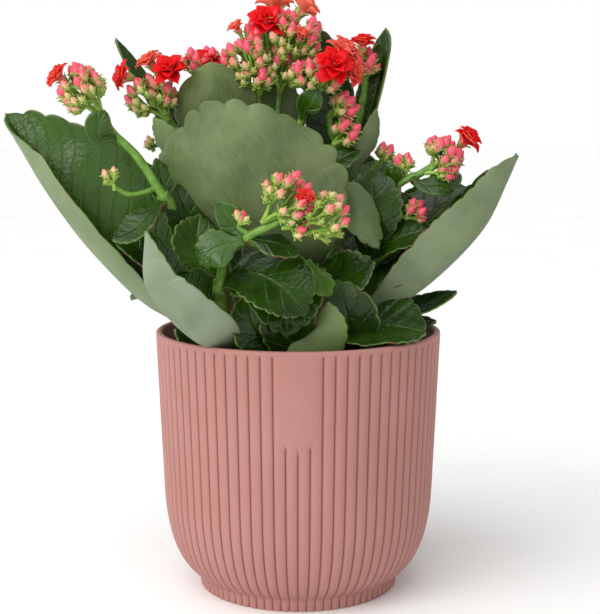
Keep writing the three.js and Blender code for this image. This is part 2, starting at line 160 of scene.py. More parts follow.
def read_points(piece: Piece) -> np.ndarray:
    """The piece's vertices as an array of rows x, y, z."""
    flat = np.empty(len(piece.data.vertices) * 3)
    piece.data.vertices.foreach_get("co", flat)
    return flat.reshape(-1, 3)


def write_points(piece: Piece, points: np.ndarray) -> None:
    """Moves the piece's vertices to the rows of an array."""
    piece.data.vertices.foreach_set("co", np.asarray(points, dtype=float).ravel())
    piece.data.update()


def set_attribute(piece: Piece, name: str, values: np.ndarray | float) -> None:
    """Stores a number per vertex under a name that materials can read."""
    layer = piece.data.attributes.get(name) or piece.data.attributes.new(name, "FLOAT", "POINT")
    count = len(piece.data.vertices)
    layer.data.foreach_set("value", np.broadcast_to(np.asarray(values, dtype=float), count).copy())


def settle(piece: Piece, nodes: Iterable[str] = ()) -> Piece:
    """Rides a finished piece on the plant's only body and reports it.

    Args:
        piece: The finished piece.
        nodes: The CAD nodes that it stands for.

    Returns:
        The piece.
    """
    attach(piece, "root")
    for node in nodes:
        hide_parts(node)
    LOG.info("%s: %d faces", piece.name, len(piece.data.polygons))
    return piece


class GrownLine:
    """A smooth centripetal curve through chosen points, as the CAD solids follow it."""

    def __init__(self, points: Iterable[Vector]) -> None:
        """Keeps the points that the curve passes through."""
        self.points = [Vector(p) for p in points]

    def _ends(self, index: int) -> list[Vector]:
        """The four points that shape the stretch after a point."""
        points, last = self.points, len(self.points) - 1
        before = points[index - 1] if index > 0 else 2 * points[0] - points[1]
        after = points[index + 2] if index + 2 <= last else 2 * points[last] - points[last - 1]
        return [before, points[index], points[index + 1], after]

    def point(self, share: float) -> Vector:
        """The point at a share of the curve, each stretch counting the same."""
        position = float(share) * (len(self.points) - 1)
        index = min(max(int(position), 0), len(self.points) - 2)
        weight = position - index
        p0, p1, p2, p3 = self._ends(index)
        gap1 = (p2 - p1).length ** 0.5 or 1.0
        gap0 = (p1 - p0).length ** 0.5 or gap1
        gap2 = (p3 - p2).length ** 0.5 or gap1
        start = ((p1 - p0) / gap0 - (p2 - p0) / (gap0 + gap1) + (p2 - p1) / gap1) * gap1
        end = ((p2 - p1) / gap1 - (p3 - p1) / (gap1 + gap2) + (p3 - p2) / gap2) * gap1
        square = -3 * p1 + 3 * p2 - 2 * start - end
        cube = 2 * p1 - 2 * p2 + start + end
        return p1 + weight * (start + weight * (square + weight * cube))

    def tangent(self, share: float) -> Vector:
        """The unit direction of the curve at a share of it."""
        step = 1e-3
        low, high = max(share - step, 0.0), min(share + step, 1.0)
        return (self.point(high) - self.point(low)).normalized()

    def length(self) -> float:
        """The curve's length."""
        spots = [self.point(i / 40) for i in range(41)]
        return sum((b - a).length for a, b in zip(spots, spots[1:]))


# --- finishes -----------------------------------------------------------------------------------
@dataclass(frozen=True)
class Finish:
    """What every finish shares: a name, a main colour and how rough it is."""

    name: str
    colour: str
    roughness: float

    def start(self) -> tuple[Material, Tree, bpy.types.Node]:
        """Makes a material with a shader whose plain sockets are set.

        Returns:
            The material, its node tree and the shader node.
        """
        material = bpy.data.materials.new(self.name)
        material.use_nodes = True
        tree = material.node_tree
        shader = tree.nodes["Principled BSDF"]
        shader.inputs["Base Color"].default_value = srgb(self.colour)
        shader.inputs["Roughness"].default_value = self.roughness
        shader.inputs["IOR"].default_value = 1.45
        material.diffuse_color = srgb(self.colour)
        return material, tree, shader


def grains(tree: Tree, size_mm: float, detail: float = 2.0) -> Socket:
    """A noise of 0 to 1 on object coordinates whose blotches are about size_mm across."""
    place = add_node(tree, "TexCoord")
    node = add_node(tree, "TexNoise",
                    {"Scale": 1 / (size_mm * MM), "Detail": detail, "Roughness": 0.55},
                    {"Vector": place.outputs["Object"]})
    return node.outputs["Fac"]


def attribute(tree: Tree, name: str) -> Socket:
    """The number that each vertex carries under a name."""
    return add_node(tree, "Attribute", {"attribute_name": name}).outputs["Fac"]


def map_place(tree: Tree) -> tuple[Socket, Socket]:
    """The place on the piece's own map: u and v."""
    uv = add_node(tree, "UVMap", {"uv_map": "UVMap"})
    split = add_node(tree, "SeparateXYZ", {}, {"Vector": uv.outputs["UV"]})
    return split.outputs["X"], split.outputs["Y"]


def blend_colours(
    tree: Tree, share: Socket, first: str | Socket, second: str | Socket,
) -> Socket:
    """Mixes two colours, each given as a hex code or as a socket.

    Args:
        tree: The node tree.
        share: 0 gives the first colour and 1 the second.
        first: The first colour.
        second: The second colour.

    Returns:
        The mixed colour's socket.
    """
    mix = add_node(tree, "Mix", {"data_type": "RGBA"}, {"Factor": share})
    inputs = [s for s in mix.inputs if s.type == "RGBA"]
    for socket, colour in zip(inputs, (first, second)):
        if isinstance(colour, str):
            socket.default_value = srgb(colour)
        else:
            tree.links.new(colour, socket)
    return next(s for s in mix.outputs if s.type == "RGBA")


def ramp(
    tree: Tree, value: Socket, low: float, high: float,
    start: float = 0.0, end: float = 1.0,
) -> Socket:
    """Eases a value from start, at low, to end, at high."""
    node = add_node(
        tree, "MapRange",
        {"interpolation_type": "SMOOTHSTEP", "From Min": low, "From Max": high,
         "To Min": start, "To Max": end},
        {"Value": value},
    )
    return node.outputs["Result"]


def arithmetic(
    tree: Tree, operation: str, first: float | Socket, second: float | Socket = 0.0,
) -> Socket:
    """A Math node on two values, each a number or a socket."""
    node = add_node(tree, "Math", {"operation": operation})
    for index, value in enumerate((first, second)):
        if isinstance(value, (int, float)):
            node.inputs[index].default_value = value
        else:
            tree.links.new(value, node.inputs[index])
    return node.outputs[0]


def multiply(tree: Tree, first: float | Socket, second: float | Socket) -> Socket:
    """The product of two values, each a number or a socket."""
    return arithmetic(tree, "MULTIPLY", first, second)


def vary_roughness(tree: Tree, shader: bpy.types.Node, size_mm: float, spread: float) -> None:
    """Makes a shader's roughness uneven, in patches of size_mm, by a spread to either side."""
    middle = shader.inputs["Roughness"].default_value
    uneven = ramp(tree, grains(tree, size_mm), 0.3, 0.7, middle - spread, middle + spread)
    tree.links.new(uneven, shader.inputs["Roughness"])


def relief(
    tree: Tree, shader: bpy.types.Node, height: Socket,
    depth_mm: float, strength: float = 1.0,
) -> None:
    """Gives a shader bumps of a real depth, from a height of 0 to 1."""
    bump = add_node(tree, "Bump", {"Strength": strength, "Distance": depth_mm * MM},
                    {"Height": height})
    tree.links.new(bump.outputs["Normal"], shader.inputs["Normal"])


@dataclass(frozen=True)
class MouldedPolypropylene(Finish):
    """Injection-moulded, mass-coloured polypropylene: matte, even, with a very fine grain."""

    second: str = "#aa7972"
    # The grooves' colour: a little dust and painted shade in the recesses between the ribs.
    groove: str = "#6f3f36"

    def build(self) -> Material:
        """Builds the material; the grooves between the ribs are darkened by a little dust and by
        painted shade.
        """
        material, tree, shader = self.start()
        cloud = ramp(tree, grains(tree, 45, 3), 0.3, 0.7)
        tone = blend_colours(tree, cloud, self.colour, self.second)
        # Painted shade, with a little dust, darkens the grooves between the ribs.
        dust_and_shade = ramp(tree, attribute(tree, "groove"), 0.25, 1.0, 0.0, 0.75)
        tone = blend_colours(tree, dust_and_shade, tone, self.groove)
        tree.links.new(tone, shader.inputs["Base Color"])
        shader.inputs["Specular IOR Level"].default_value = 0.3
        # Spark-eroded mould grain, about 0.3 mm; drawn at 0.6 mm so that it shows.
        relief(tree, shader, grains(tree, 0.6), 0.03, 0.6)
        vary_roughness(tree, shader, 12, 0.06)
        return material


@dataclass(frozen=True)
class PeatMix(Finish):
    """Damp peat potting mix: dark, fibrous and without shine."""

    def build(self) -> Material:
        """Builds the material with clumps of 6 mm and fibres of 1 mm."""
        material, tree, shader = self.start()
        clumps = ramp(tree, grains(tree, 6, 4), 0.35, 0.65)
        tone = blend_colours(tree, clumps, self.colour, "#4a3627")
        tree.links.new(tone, shader.inputs["Base Color"])
        relief(tree, shader, grains(tree, 1.2, 5), 0.8)
        return material


@dataclass(frozen=True)
class Crumb(Finish):
    """A loose bit in the potting mix, such as bark or perlite: dry, dull and mottled."""

    second: str = "#6b4a30"

    def build(self) -> Material:
        """Builds the material with a mottle of 1.5 mm."""
        material, tree, shader = self.start()
        mottle = ramp(tree, grains(tree, 1.5, 3), 0.35, 0.65)
        tone = blend_colours(tree, mottle, self.colour, self.second)
        tree.links.new(tone, shader.inputs["Base Color"])
        relief(tree, shader, grains(tree, 0.8, 3), 0.3)
        return material


@dataclass(frozen=True)
class GreenRind(Finish):
    """Living stem skin: satin, lightly mottled, and brown where it turns to wood."""

    second: str = "#8fb04f"
    wood: str = "#7d6f49"

    def build(self) -> Material:
        """Builds the material; the woody share of a stem comes from its own attribute."""
        material, tree, shader = self.start()
        streaks = ramp(tree, grains(tree, 3.5, 3), 0.3, 0.7)
        tone = blend_colours(tree, streaks, self.colour, self.second)
        tone = blend_colours(tree, attribute(tree, "woody"), tone, self.wood)
        tree.links.new(tone, shader.inputs["Base Color"])
        relief(tree, shader, grains(tree, 0.9, 2), 0.08, 0.5)
        shader.inputs["Coat Weight"].default_value = 0.1
        return material


class LeafSide(Enum):
    """Which skin of a leaf a finish is for."""

    UPPER = "upper"
    UNDER = "under"


@dataclass(frozen=True)
class LeafSkin(Finish):
    """A fleshy leaf's skin: a waxy dark upper side, or a dull, pale and finely streaked underside."""

    side: LeafSide
    second: str
    vein: str
    young: str
    # Grey of the underside's wax, which also stands for a painted sheen on lit undersides.
    wax_and_sheen_colour: str = "#7e8b76"
    rim: str = "#5f7f34"
    vein_gap_mm: float = 9.0

    def build(self) -> Material:
        """Builds the material from the leaf's own map: u across and v along, 1 being 100 mm."""
        material, tree, shader = self.start()
        across, along = (multiply(tree, place, 100.0) for place in map_place(tree))
        veins = self.veins(tree, arithmetic(tree, "ABSOLUTE", across), along)
        if self.side is LeafSide.UPPER:
            pattern = ramp(tree, grains(tree, 14, 3), 0.3, 0.7)
            height = arithmetic(tree, "SUBTRACT", grains(tree, 2.2, 2), veins)
            vein_share, depth, strength = 0.2, 0.5, 0.65
        else:
            pattern, height = self.streaks(tree, across, along)
            vein_share, depth, strength = 0.1, 0.12, 0.45
        tone = blend_colours(tree, pattern, self.colour, self.second)
        tone = blend_colours(tree, multiply(tree, veins, vein_share), tone, self.vein)
        # Young leaves are yellower: each leaf carries its own tint from 0 to 1.
        youth = multiply(tree, attribute(tree, "tint"), 0.7)
        tone = blend_colours(tree, youth, tone, self.young)
        if self.side is LeafSide.UNDER:
            # Grey wax, rubbed off in patches of 18 mm, and a painted sheen: each leaf's share of this
            # grey is larger where the leaf stands in the light.
            patches = ramp(tree, grains(tree, 18, 3), 0.3, 0.65, 0.6, 1.0)
            wax_and_sheen_share = multiply(tree, attribute(tree, "wax_and_sheen"), patches)
            tone = blend_colours(tree, wax_and_sheen_share, tone, self.wax_and_sheen_colour)
        else:
            shader.inputs["Specular IOR Level"].default_value = 0.36
        # The last half millimetre before the margin is paler.
        edge = ramp(tree, attribute(tree, "edge"), 0.1, 0.9, 0.5, 0.0)
        tone = blend_colours(tree, edge, tone, self.rim)
        tree.links.new(tone, shader.inputs["Base Color"])
        relief(tree, shader, height, depth, strength)
        vary_roughness(tree, shader, 5, 0.07)
        return material

    def veins(self, tree: Tree, across: Socket, along: Socket) -> Socket:
        """A mask that is 1 on the midrib and on the side veins that leave it at a slant."""
        midrib = ramp(tree, across, 0.4, 1.6, 1.0, 0.0)
        slant = arithmetic(tree, "SUBTRACT", along, multiply(tree, across, 0.85))
        wander = multiply(tree, grains(tree, 12, 2), 4.0)
        phase = arithmetic(tree, "DIVIDE", arithmetic(tree, "ADD", slant, wander), self.vein_gap_mm)
        distance = arithmetic(tree, "PINGPONG", phase, 0.5)
        side_vein = ramp(tree, distance, 0.02, 0.11, 0.75, 0.0)
        return arithmetic(tree, "MAXIMUM", midrib, side_vein)

    def streaks(self, tree: Tree, across: Socket, along: Socket) -> tuple[Socket, Socket]:
        """Streaks 1 mm wide and 10 mm long over clouds of 22 mm: a colour share and a height."""
        stretched = add_node(tree, "CombineXYZ", {}, {
            "X": across, "Y": multiply(tree, along, 0.12)})
        fine = add_node(tree, "TexNoise", {"Scale": 0.8, "Detail": 4.0, "Roughness": 0.6},
                        {"Vector": stretched.outputs[0]})
        clouds = grains(tree, 22, 4)
        drawn = multiply(tree, fine.outputs["Fac"], 0.3)
        mixed = arithmetic(tree, "ADD", drawn, multiply(tree, clouds, 0.7))
        height = arithmetic(tree, "ADD", drawn, multiply(tree, grains(tree, 0.9, 1), 0.6))
        return ramp(tree, mixed, 0.38, 0.62), height


@dataclass(frozen=True)
class LeafMargin(Finish):
    """The rounded leaf margin: thin skin over clear flesh, pale green with red-brown stretches."""

    second: str = "#5f2f22"

    def build(self) -> Material:
        """Builds the material with red-brown stretches 8 mm long."""
        material, tree, shader = self.start()
        blush = ramp(tree, grains(tree, 9, 2), 0.46, 0.62)
        tone = blend_colours(tree, blush, self.colour, self.second)
        tree.links.new(tone, shader.inputs["Base Color"])
        return material


@dataclass(frozen=True)
class PetalTissue(Finish):
    """A petal's face: saturated, with a soft satin glow and faint lengthwise veins."""

    second: str = "#b20409"
    faded: str = "#f08068"

    def build(self) -> Material:
        """Builds the material from the petal's own map: u across and v along."""
        material, tree, shader = self.start()
        across, along = map_place(tree)
        waves = arithmetic(tree, "PINGPONG", multiply(tree, across, 7.0), 0.5)
        fade = ramp(tree, along, 0.0, 0.9, 0.8, 0.1)
        share = multiply(tree, multiply(tree, waves, 2.0), fade)
        tone = blend_colours(tree, share, self.colour, self.second)
        # Older flowers fade to salmon.
        age = multiply(tree, attribute(tree, "ripe"), 0.75)
        tone = blend_colours(tree, age, tone, self.faded)
        tree.links.new(tone, shader.inputs["Base Color"])
        shader.inputs["Specular IOR Level"].default_value = 0.2
        # Light passes through the thin petal and brightens its shaded side.
        shader.inputs["Subsurface Weight"].default_value = 0.3
        shader.inputs["Subsurface Scale"].default_value = 0.002
        relief(tree, shader, grains(tree, 1.0, 2), 0.06, 0.5)
        return material


@dataclass(frozen=True)
class BudTissue(Finish):
    """A flower bud: rolled petals, green-cream at the base and pink to red towards the tip."""

    cream: str = "#dcc794"
    green: str = "#8ba843"
    seam: str = "#b8323d"

    def build(self) -> Material:
        """Builds the material: u round the bud, v from base to tip, and ripeness as an attribute."""
        material, tree, shader = self.start()
        across, along = map_place(tree)
        # Pink climbs down from the tip as the bud ripens.
        pinkness = arithmetic(tree, "ADD", multiply(tree, along, 0.5),
                              multiply(tree, attribute(tree, "ripe"), 1.1))
        base = blend_colours(tree, ramp(tree, pinkness, 0.5, 1.0), self.green, self.cream)
        tone = blend_colours(tree, ramp(tree, pinkness, 0.72, 1.2), base, self.colour)
        # Edges of the four rolled petals, which turn about a third of the way round the bud.
        turn = arithmetic(tree, "ADD", multiply(tree, across, 4.0), multiply(tree, along, 1.1))
        line = ramp(tree, arithmetic(tree, "PINGPONG", turn, 0.5), 0.02, 0.12, 0.5, 0.0)
        shown = multiply(tree, line, ramp(tree, along, 0.2, 0.6))
        tone = blend_colours(tree, shown, tone, self.seam)
        tree.links.new(tone, shader.inputs["Base Color"])
        relief(tree, shader, arithmetic(tree, "SUBTRACT", 1.0, line), 0.25, 0.7)
        shader.inputs["Coat Weight"].default_value = 0.15
        return material


@dataclass(frozen=True)
class PaleFloor(Finish):
    """A smooth white studio floor."""

    def build(self) -> Material:
        """Builds the material with a barely uneven tone, in patches of 200 mm."""
        material, tree, shader = self.start()
        cloud = ramp(tree, grains(tree, 200, 2), 0.3, 0.7)
        tone = blend_colours(tree, cloud, self.colour, "#f7f7f6")
        tree.links.new(tone, shader.inputs["Base Color"])
        return material


class Palette:
    """Every material of the plant, built once."""

    def __init__(self) -> None:
        """Builds the materials."""
        # The pot's plastic: matte and even, with a hint of pink.
        self.pot = MouldedPolypropylene("moulded_polypropylene", "#a5736b", 0.6).build()
        # Damp, dark and without shine, with dry brown and chalky white bits on it.
        self.peat = PeatMix("peat_mix", "#2b1f18", 0.95).build()
        self.bark = Crumb("pine_bark", "#4e3522", 0.9).build()
        self.perlite = Crumb("perlite", "#d8d3c8", 0.9, "#b9b3a6").build()
        # Satin greens: darkest on the stems, paler and yellower towards the flowers.
        self.stem = GreenRind("stem_rind", "#46691f", 0.45, "#6a8a38").build()
        self.stalk = GreenRind("stalk_rind", "#4e7a20", 0.42, "#6f9838").build()
        self.pedicel = GreenRind("pedicel_rind", "#6f962b", 0.45, "#92b348").build()
        self.sepal = GreenRind("sepal_skin", "#86a83a", 0.5, "#a9bd62").build()
        # The leaves' glossy dark top, their dull grey-green back, and the thin margin between them.
        self.upper = LeafSkin("leaf_upper_skin", "#152c02", 0.21, LeafSide.UPPER, "#244106",
                              "#38580f", "#4f7a1a").build()
        self.under = LeafSkin("leaf_under_skin", "#465823", 0.46, LeafSide.UNDER, "#63733f",
                              "#75805c", "#7f9a4c").build()
        self.margin = LeafMargin("leaf_margin", "#4a6b20", 0.4).build()
        # Scarlet faces and salmon backs, and buds that go from green over cream to pink.
        self.petal = PetalTissue("petal_face", "#d6040c", 0.5).build()
        self.petal_back = PetalTissue("petal_back", "#ee6450", 0.5, "#d93a32").build()
        self.bud = BudTissue("bud_skin", "#e04e64", 0.42).build()
        # White, so that only the plant's soft shadow shows on it.
        self.floor = PaleFloor("studio_floor", "#fbfbfa", 0.6).build()


# --- pot ----------------------------------------------------------------------------------------
@dataclass
class CoverPot:
    """The ribbed cover pot, as one closed moulding. Sizes in millimetres."""

    palette: Palette
    rim_radius: float = 70.0
    height: float = 128.0
    shoulder: tuple[float, float] = (66.8, 50.0)
    neck: tuple[float, float] = (50.0, 6.5)
    foot_radius: float = 49.3
    wall: float = 3.2
    floor: float = 3.5
    lip_band: float = 1.8
    lip_round: float = 1.2
    ribs: int = 76
    rib_depth: float = 0.95
    strip_half_width: float = 8.6
    strip_bottom: float = 88.0
    # Places round one rib, as shares of its pitch: closer together beside the groove.
    rib_steps: tuple[float, ...] = (0.0, 0.05, 0.14, 0.3, 0.5, 0.7, 0.86, 0.95)
    # The foot's rings: radius beyond the foot's own, height, and how deep the ribs are.
    foot_rings: tuple[Ring, ...] = (
        (-0.7, 0.0, 0.8), (-0.15, 0.25, 0.9), (0.0, 0.8, 1.0), (0.1, 3.0, 0.9), (0.35, 4.6, 0.75))
    # Handles of the belly's curve, from the neck and from the shoulder.
    belly_handles: tuple[tuple[float, float], ...] = ((9.0, 5.0), (-1.0, -26.0))
    belly_rings: int = 18
    # Heights of the rings of the straight side: closer together where the plain strip ends.
    side_heights: tuple[float, ...] = (
        56, 64, 72, 80, 83, 85, 86.5, 88, 90, 93, 98, 106, 114, 121)

    def belly(self, share: float) -> tuple[float, float]:
        """A point of the rounded belly between the neck and the shoulder."""
        (r0, z0), (r3, z3) = self.neck, self.shoulder
        (r1, z1), (r2, z2) = self.belly_handles
        corners = [(r0, z0), (r0 + r1, z0 + z1), (r3 + r2, z3 + z2), (r3, z3)]
        rest = 1 - share
        weights = [rest ** 3, 3 * share * rest ** 2, 3 * share ** 2 * rest, share ** 3]
        radius = sum(w * c[0] for w, c in zip(weights, corners))
        height = sum(w * c[1] for w, c in zip(weights, corners))
        return radius, height

    def side(self) -> list[Ring]:
        """The outer wall from the foot to the lip."""
        lip = self.height - self.lip_band
        rings = [(self.foot_radius + out, z, depth) for out, z, depth in self.foot_rings]
        for i in range(self.belly_rings + 1):
            rings.append((*self.belly(i / self.belly_rings), 0.75 + 0.25 * min(i / 3, 1)))
        slope = (self.rim_radius - self.shoulder[0]) / (lip - self.shoulder[1])
        for z in (*self.side_heights, lip - 1.6, lip - 1.0, lip - 0.5):
            depth = min((lip - z) / 1.6, 1.0) ** 0.5
            rings.append((self.shoulder[0] + slope * (z - self.shoulder[1]), z, depth))
        return rings

    def lip(self) -> list[Ring]:
        """The plain band, the rounded lip and the smooth inner wall, down to the floor."""
        rings = [(self.rim_radius, self.height - self.lip_band, 0.0)]
        mouth = self.rim_radius - self.wall
        bend = self.lip_round
        for i in range(5):
            turn = math.radians(90) * i / 4
            rings.append((self.rim_radius - bend * (1 - math.cos(turn)),
                          self.height - bend * (1 - math.sin(turn)), 0.0))
        for i in range(4):
            turn = math.radians(90) * i / 3
            rings.append((mouth + bend * (1 - math.sin(turn)),
                          self.height - bend * (1 - math.cos(turn)), 0.0))
        rings.append((mouth - 0.4, self.height - 10, 0.0))
        rings += [(r - self.wall, z, 0.0) for r, z, _ in reversed(self.side()) if 9 < z < 110]
        return rings + [(self.neck[0] - self.wall - 6, self.floor, 0.0), (12.0, self.floor, 0.0)]

    def strip_share(self, angle: float, z: float) -> float:
        """0 on the plain strip at the front and 1 where the ribs are full."""
        across = abs(angle) * self.rim_radius
        below = max(self.strip_bottom - z, 0.0)
        distance = math.hypot(across, below * 1.6) - self.strip_half_width
        return float(smooth_step(-0.9, 0.5, distance))

    def ring(self, angles: np.ndarray, radius: float, z: float, depth: float) -> np.ndarray:
        """The points of one ring, with its ribs, and how deep in a groove each point is.

        Args:
            angles: Angles from the front, one for each point.
            radius: Radius over the ribs' crests.
            z: Height.
            depth: Share of the full depth of the ribs.

        Returns:
            Rows of x, y, z and groove share, in millimetres.
        """
        phase = (angles * self.ribs / (2 * math.pi)) % 1.0
        hollow = 1 - np.abs(np.sin(math.pi * phase)) ** 0.55
        strip = np.array([self.strip_share(a, z) for a in angles])
        groove = hollow * depth * strip
        reach = radius - self.rib_depth * groove
        return np.column_stack([reach * np.sin(angles), -reach * np.cos(angles),
                                np.full(len(angles), z), groove])

    def build(self) -> Piece:
        """Grows a circle ring by ring up the side, over the lip and down to the floor."""
        count = self.ribs * len(self.rib_steps)
        ribs = np.repeat(np.arange(self.ribs), len(self.rib_steps))
        turns = (np.tile(self.rib_steps, self.ribs) + ribs) / self.ribs
        angles = (turns * 2 * math.pi + math.pi) % (2 * math.pi) - math.pi
        first, *rings = self.side() + self.lip()
        bpy.ops.mesh.primitive_circle_add(vertices=count, radius=self.foot_radius * MM)
        pot = active_piece("ribbed_cover_pot")
        bpy.ops.object.mode_set(mode="EDIT")
        mesh = bmesh.from_edit_mesh(pot.data)
        mesh.verts.layers.float.new("groove")
        verts = list(mesh.verts)
        self.place_ring(mesh, verts, angles, first)
        for ring in rings:
            verts = self.grow_ring(mesh, verts, angles, ring)
        bmesh.update_edit_mesh(pot.data)
        bpy.ops.mesh.select_all(action="SELECT")
        bpy.ops.mesh.fill_holes(sides=0)
        face_outwards()
        pot.data.materials.append(self.palette.pot)
        shade_smooth(pot)
        select_only([pot])
        bpy.ops.object.shade_smooth_by_angle(angle=math.radians(50))
        return settle(pot, ["pot"])

    def place_ring(
        self, mesh: bmesh.types.BMesh, verts: list[bmesh.types.BMVert], angles: np.ndarray,
        ring: Ring,
    ) -> None:
        """Moves a ring of vertices to its place and notes how deep in a groove each one is."""
        layer = mesh.verts.layers.float["groove"]
        for vert, (x, y, z, groove) in zip(verts, self.ring(angles, *ring)):
            vert.co = Vector((x, y, z)) * MM
            vert[layer] = groove

    def grow_ring(
        self, mesh: bmesh.types.BMesh, below: list[bmesh.types.BMVert], angles: np.ndarray,
        ring: Ring,
    ) -> list[bmesh.types.BMVert]:
        """Adds a ring of vertices and joins it to the one below with faces."""
        above = [mesh.verts.new() for _ in below]
        self.place_ring(mesh, above, angles, ring)
        for i, corner in enumerate(below):
            j = (i + 1) % len(below)
            mesh.faces.new((corner, below[j], above[j], above[i]))
        return above


# --- potting mix ----------------------------------------------------------------------------------
@dataclass
class PottingMix:
    """The peat that fills the pot, with bark and perlite on top. Sizes in millimetres."""

    palette: Palette
    radius: float = 65.9
    top: float = 118.0
    crown: float = 3.0
    depth: float = 20.0
    crumbs: int = 240
    rings: int = 22

    def height_at(self, x: float, y: float) -> float:
        """The uneven top of the mix."""
        out = min(math.hypot(x, y) / self.radius, 1.0)
        clods = noise.noise(Vector((x / 9, y / 9, 3.0))) * 1.8
        lumps = noise.noise(Vector((x, y, 9.0)) / 3.5)
        return self.top + self.crown * (1 - out ** 2) + (clods + lumps) * (1 - out ** 6)

    def build(self) -> Piece:
        """Insets a disc ring by ring, makes its top uneven, gives it depth and scatters crumbs."""
        bpy.ops.mesh.primitive_circle_add(vertices=120, radius=self.radius * MM, fill_type="NGON",
                                          location=(0, 0, self.top * MM))
        mix = active_piece("potting_mix")
        bpy.ops.object.transform_apply(location=True)
        bpy.ops.object.mode_set(mode="EDIT")
        bpy.ops.mesh.select_all(action="SELECT")
        for _ in range(self.rings):
            bpy.ops.mesh.inset(thickness=self.radius / (self.rings + 1) * MM)
        bpy.ops.mesh.poke()
        bpy.ops.object.mode_set(mode="OBJECT")
        points = read_points(mix)
        points[:, 2] = [self.height_at(x / MM, y / MM) * MM for x, y, _ in points]
        write_points(mix, points)
        self.deepen()
        shade_smooth(mix)
        mix.data.materials.append(self.palette.peat)
        crumbs = self.scatter()
        select_only([mix, *crumbs])
        bpy.ops.object.join()
        return settle(mix, ["soil"])

    def deepen(self) -> None:
        """Extrudes the active disc's border down the pot's wall and closes it below."""
        bpy.ops.object.mode_set(mode="EDIT")
        bpy.ops.mesh.select_all(action="SELECT")
        bpy.ops.mesh.region_to_loop()
        bpy.ops.mesh.extrude_region_move(
            TRANSFORM_OT_translate={"value": (0, 0, -self.depth * MM)})
        bpy.ops.mesh.edge_face_add()
        face_outwards()

    def scatter(self) -> list[Piece]:
        """Lays bits of bark and perlite on the mix, each a squashed ball."""
        dice = random.Random(11)
        bits = []
        bpy.ops.mesh.primitive_ico_sphere_add(subdivisions=1, radius=MM)
        pattern = active_piece("crumb")
        for _ in range(self.crumbs):
            angle, out = dice.uniform(0, 2 * math.pi), self.radius * 0.96 * math.sqrt(dice.random())
            x, y = out * math.cos(angle), out * math.sin(angle)
            is_perlite = dice.random() < 0.14
            size = dice.uniform(0.8, 1.5) if is_perlite else dice.uniform(1.0, 3.2)
            shape = Matrix.Diagonal((size, size * dice.uniform(0.5, 0.9), size * 0.45, 1.0))
            turn = Matrix.Rotation(dice.uniform(0, math.pi), 4, "Z")
            tilt = Matrix.Rotation(dice.uniform(-0.5, 0.5), 4, "X")
            place = Matrix.Translation(Vector((x, y, self.height_at(x, y) + 0.2 * size)) * MM)
            bit = bpy.data.objects.new("bit", pattern.data.copy())
            bit.data.transform(place @ turn @ tilt @ shape)
            bit.data.materials.append(self.palette.perlite if is_perlite else self.palette.bark)
            bpy.context.collection.objects.link(bit)
            bits.append(bit)
        bpy.data.objects.remove(pattern)
        return bits


# --- stems and stalks -----------------------------------------------------------------------------
@dataclass(frozen=True)
class Strand:
    """A tube along a curve whose radius changes, in millimetres."""

    line: GrownLine
    radii: tuple[float, ...]
    swellings: tuple[float, ...] = ()
    steps: int = 16

    def radius(self, share: float) -> float:
        """The radius at a share of the length: eased between radii, and swollen at the joints."""
        spot = share * (len(self.radii) - 1)
        low = min(int(spot), len(self.radii) - 2)
        plain = self.radii[low] + (self.radii[low + 1] - self.radii[low]) * (spot - low)
        swell = sum(math.exp(-((share - s) / 0.035) ** 2) for s in self.swellings)
        return plain * (1 + 0.24 * min(swell, 1.0))


def grow_strands(name: str, strands: Iterable[Strand], roundness: int = 2) -> Piece:
    """Turns strands to one mesh of closed tubes with flat caps.

    Args:
        name: The new piece's name.
        strands: The tubes.
        roundness: The curve's bevel resolution; the section has 4 sides more for each step.

    Returns:
        The mesh object, at the origin.
    """
    bpy.ops.curve.primitive_nurbs_path_add()
    piece = active_piece(name)
    curve = piece.data
    curve.splines.clear()
    curve.dimensions = "3D"
    curve.bevel_depth = MM
    curve.bevel_resolution = roundness
    curve.use_fill_caps = True
    for strand in strands:
        spline = curve.splines.new("POLY")
        spline.points.add(strand.steps)
        for i, spot in enumerate(spline.points):
            share = i / strand.steps
            spot.co = (*(strand.line.point(share) * MM), 1.0)
            spot.radius = strand.radius(share)
    select_only([piece])
    bpy.ops.object.convert(target="MESH")
    piece = bpy.context.object
    bpy.ops.object.mode_set(mode="EDIT")
    bpy.ops.mesh.select_all(action="SELECT")
    bpy.ops.mesh.remove_doubles(threshold=1e-6)
    face_outwards()
    shade_smooth(piece)
    bpy.ops.object.shade_smooth_by_angle(angle=math.radians(60))
    return piece


STEM_RADIUS = 4.0
STALK_RADIUS = 1.9
SOIL_TOP = 118.0
STEM_PLANTED = 22.0

# Points up the middle of each stem. The first lies in the soil.
STEMS: dict[str, list[Point]] = {
    "centre": [(-9, 4, 118), (-10, 3, 150), (-10, 2, 178), (-9, 2, 205)],
    "left": [(-26, -4, 118), (-38, -10, 148), (-50, -22, 174), (-63, -34, 196)],
    "front": [(-28, -34, 118), (-34, -44, 136), (-36, -49, 158)],
    "right": [(18, 2, 118), (27, 0, 146), (35, 0, 172), (42, 0, 195)],
    "back": [(10, 30, 118), (16, 30, 150), (22, 27, 178), (28, 23, 205)],
    "back_left": [(-24, 30, 118), (-36, 26, 150), (-46, 18, 182), (-54, 8, 214)],
}

STEM_LINES = {
    name: GrownLine([Vector((*points[0][:2], SOIL_TOP - STEM_PLANTED)), *map(Vector, points)])
    for name, points in STEMS.items()
}


def share_on_stem(name: str, height: float) -> float:
    """The share of a stem's length at which it reaches a height."""
    low, high = 0.0, 1.0
    for _ in range(24):
        middle = (low + high) / 2
        if STEM_LINES[name].point(middle).z < height:
            low = middle
        else:
            high = middle
    return low


def on_stem(name: str, height: float) -> Vector:
    """The point on a stem's middle at a height."""
    return STEM_LINES[name].point(share_on_stem(name, height))


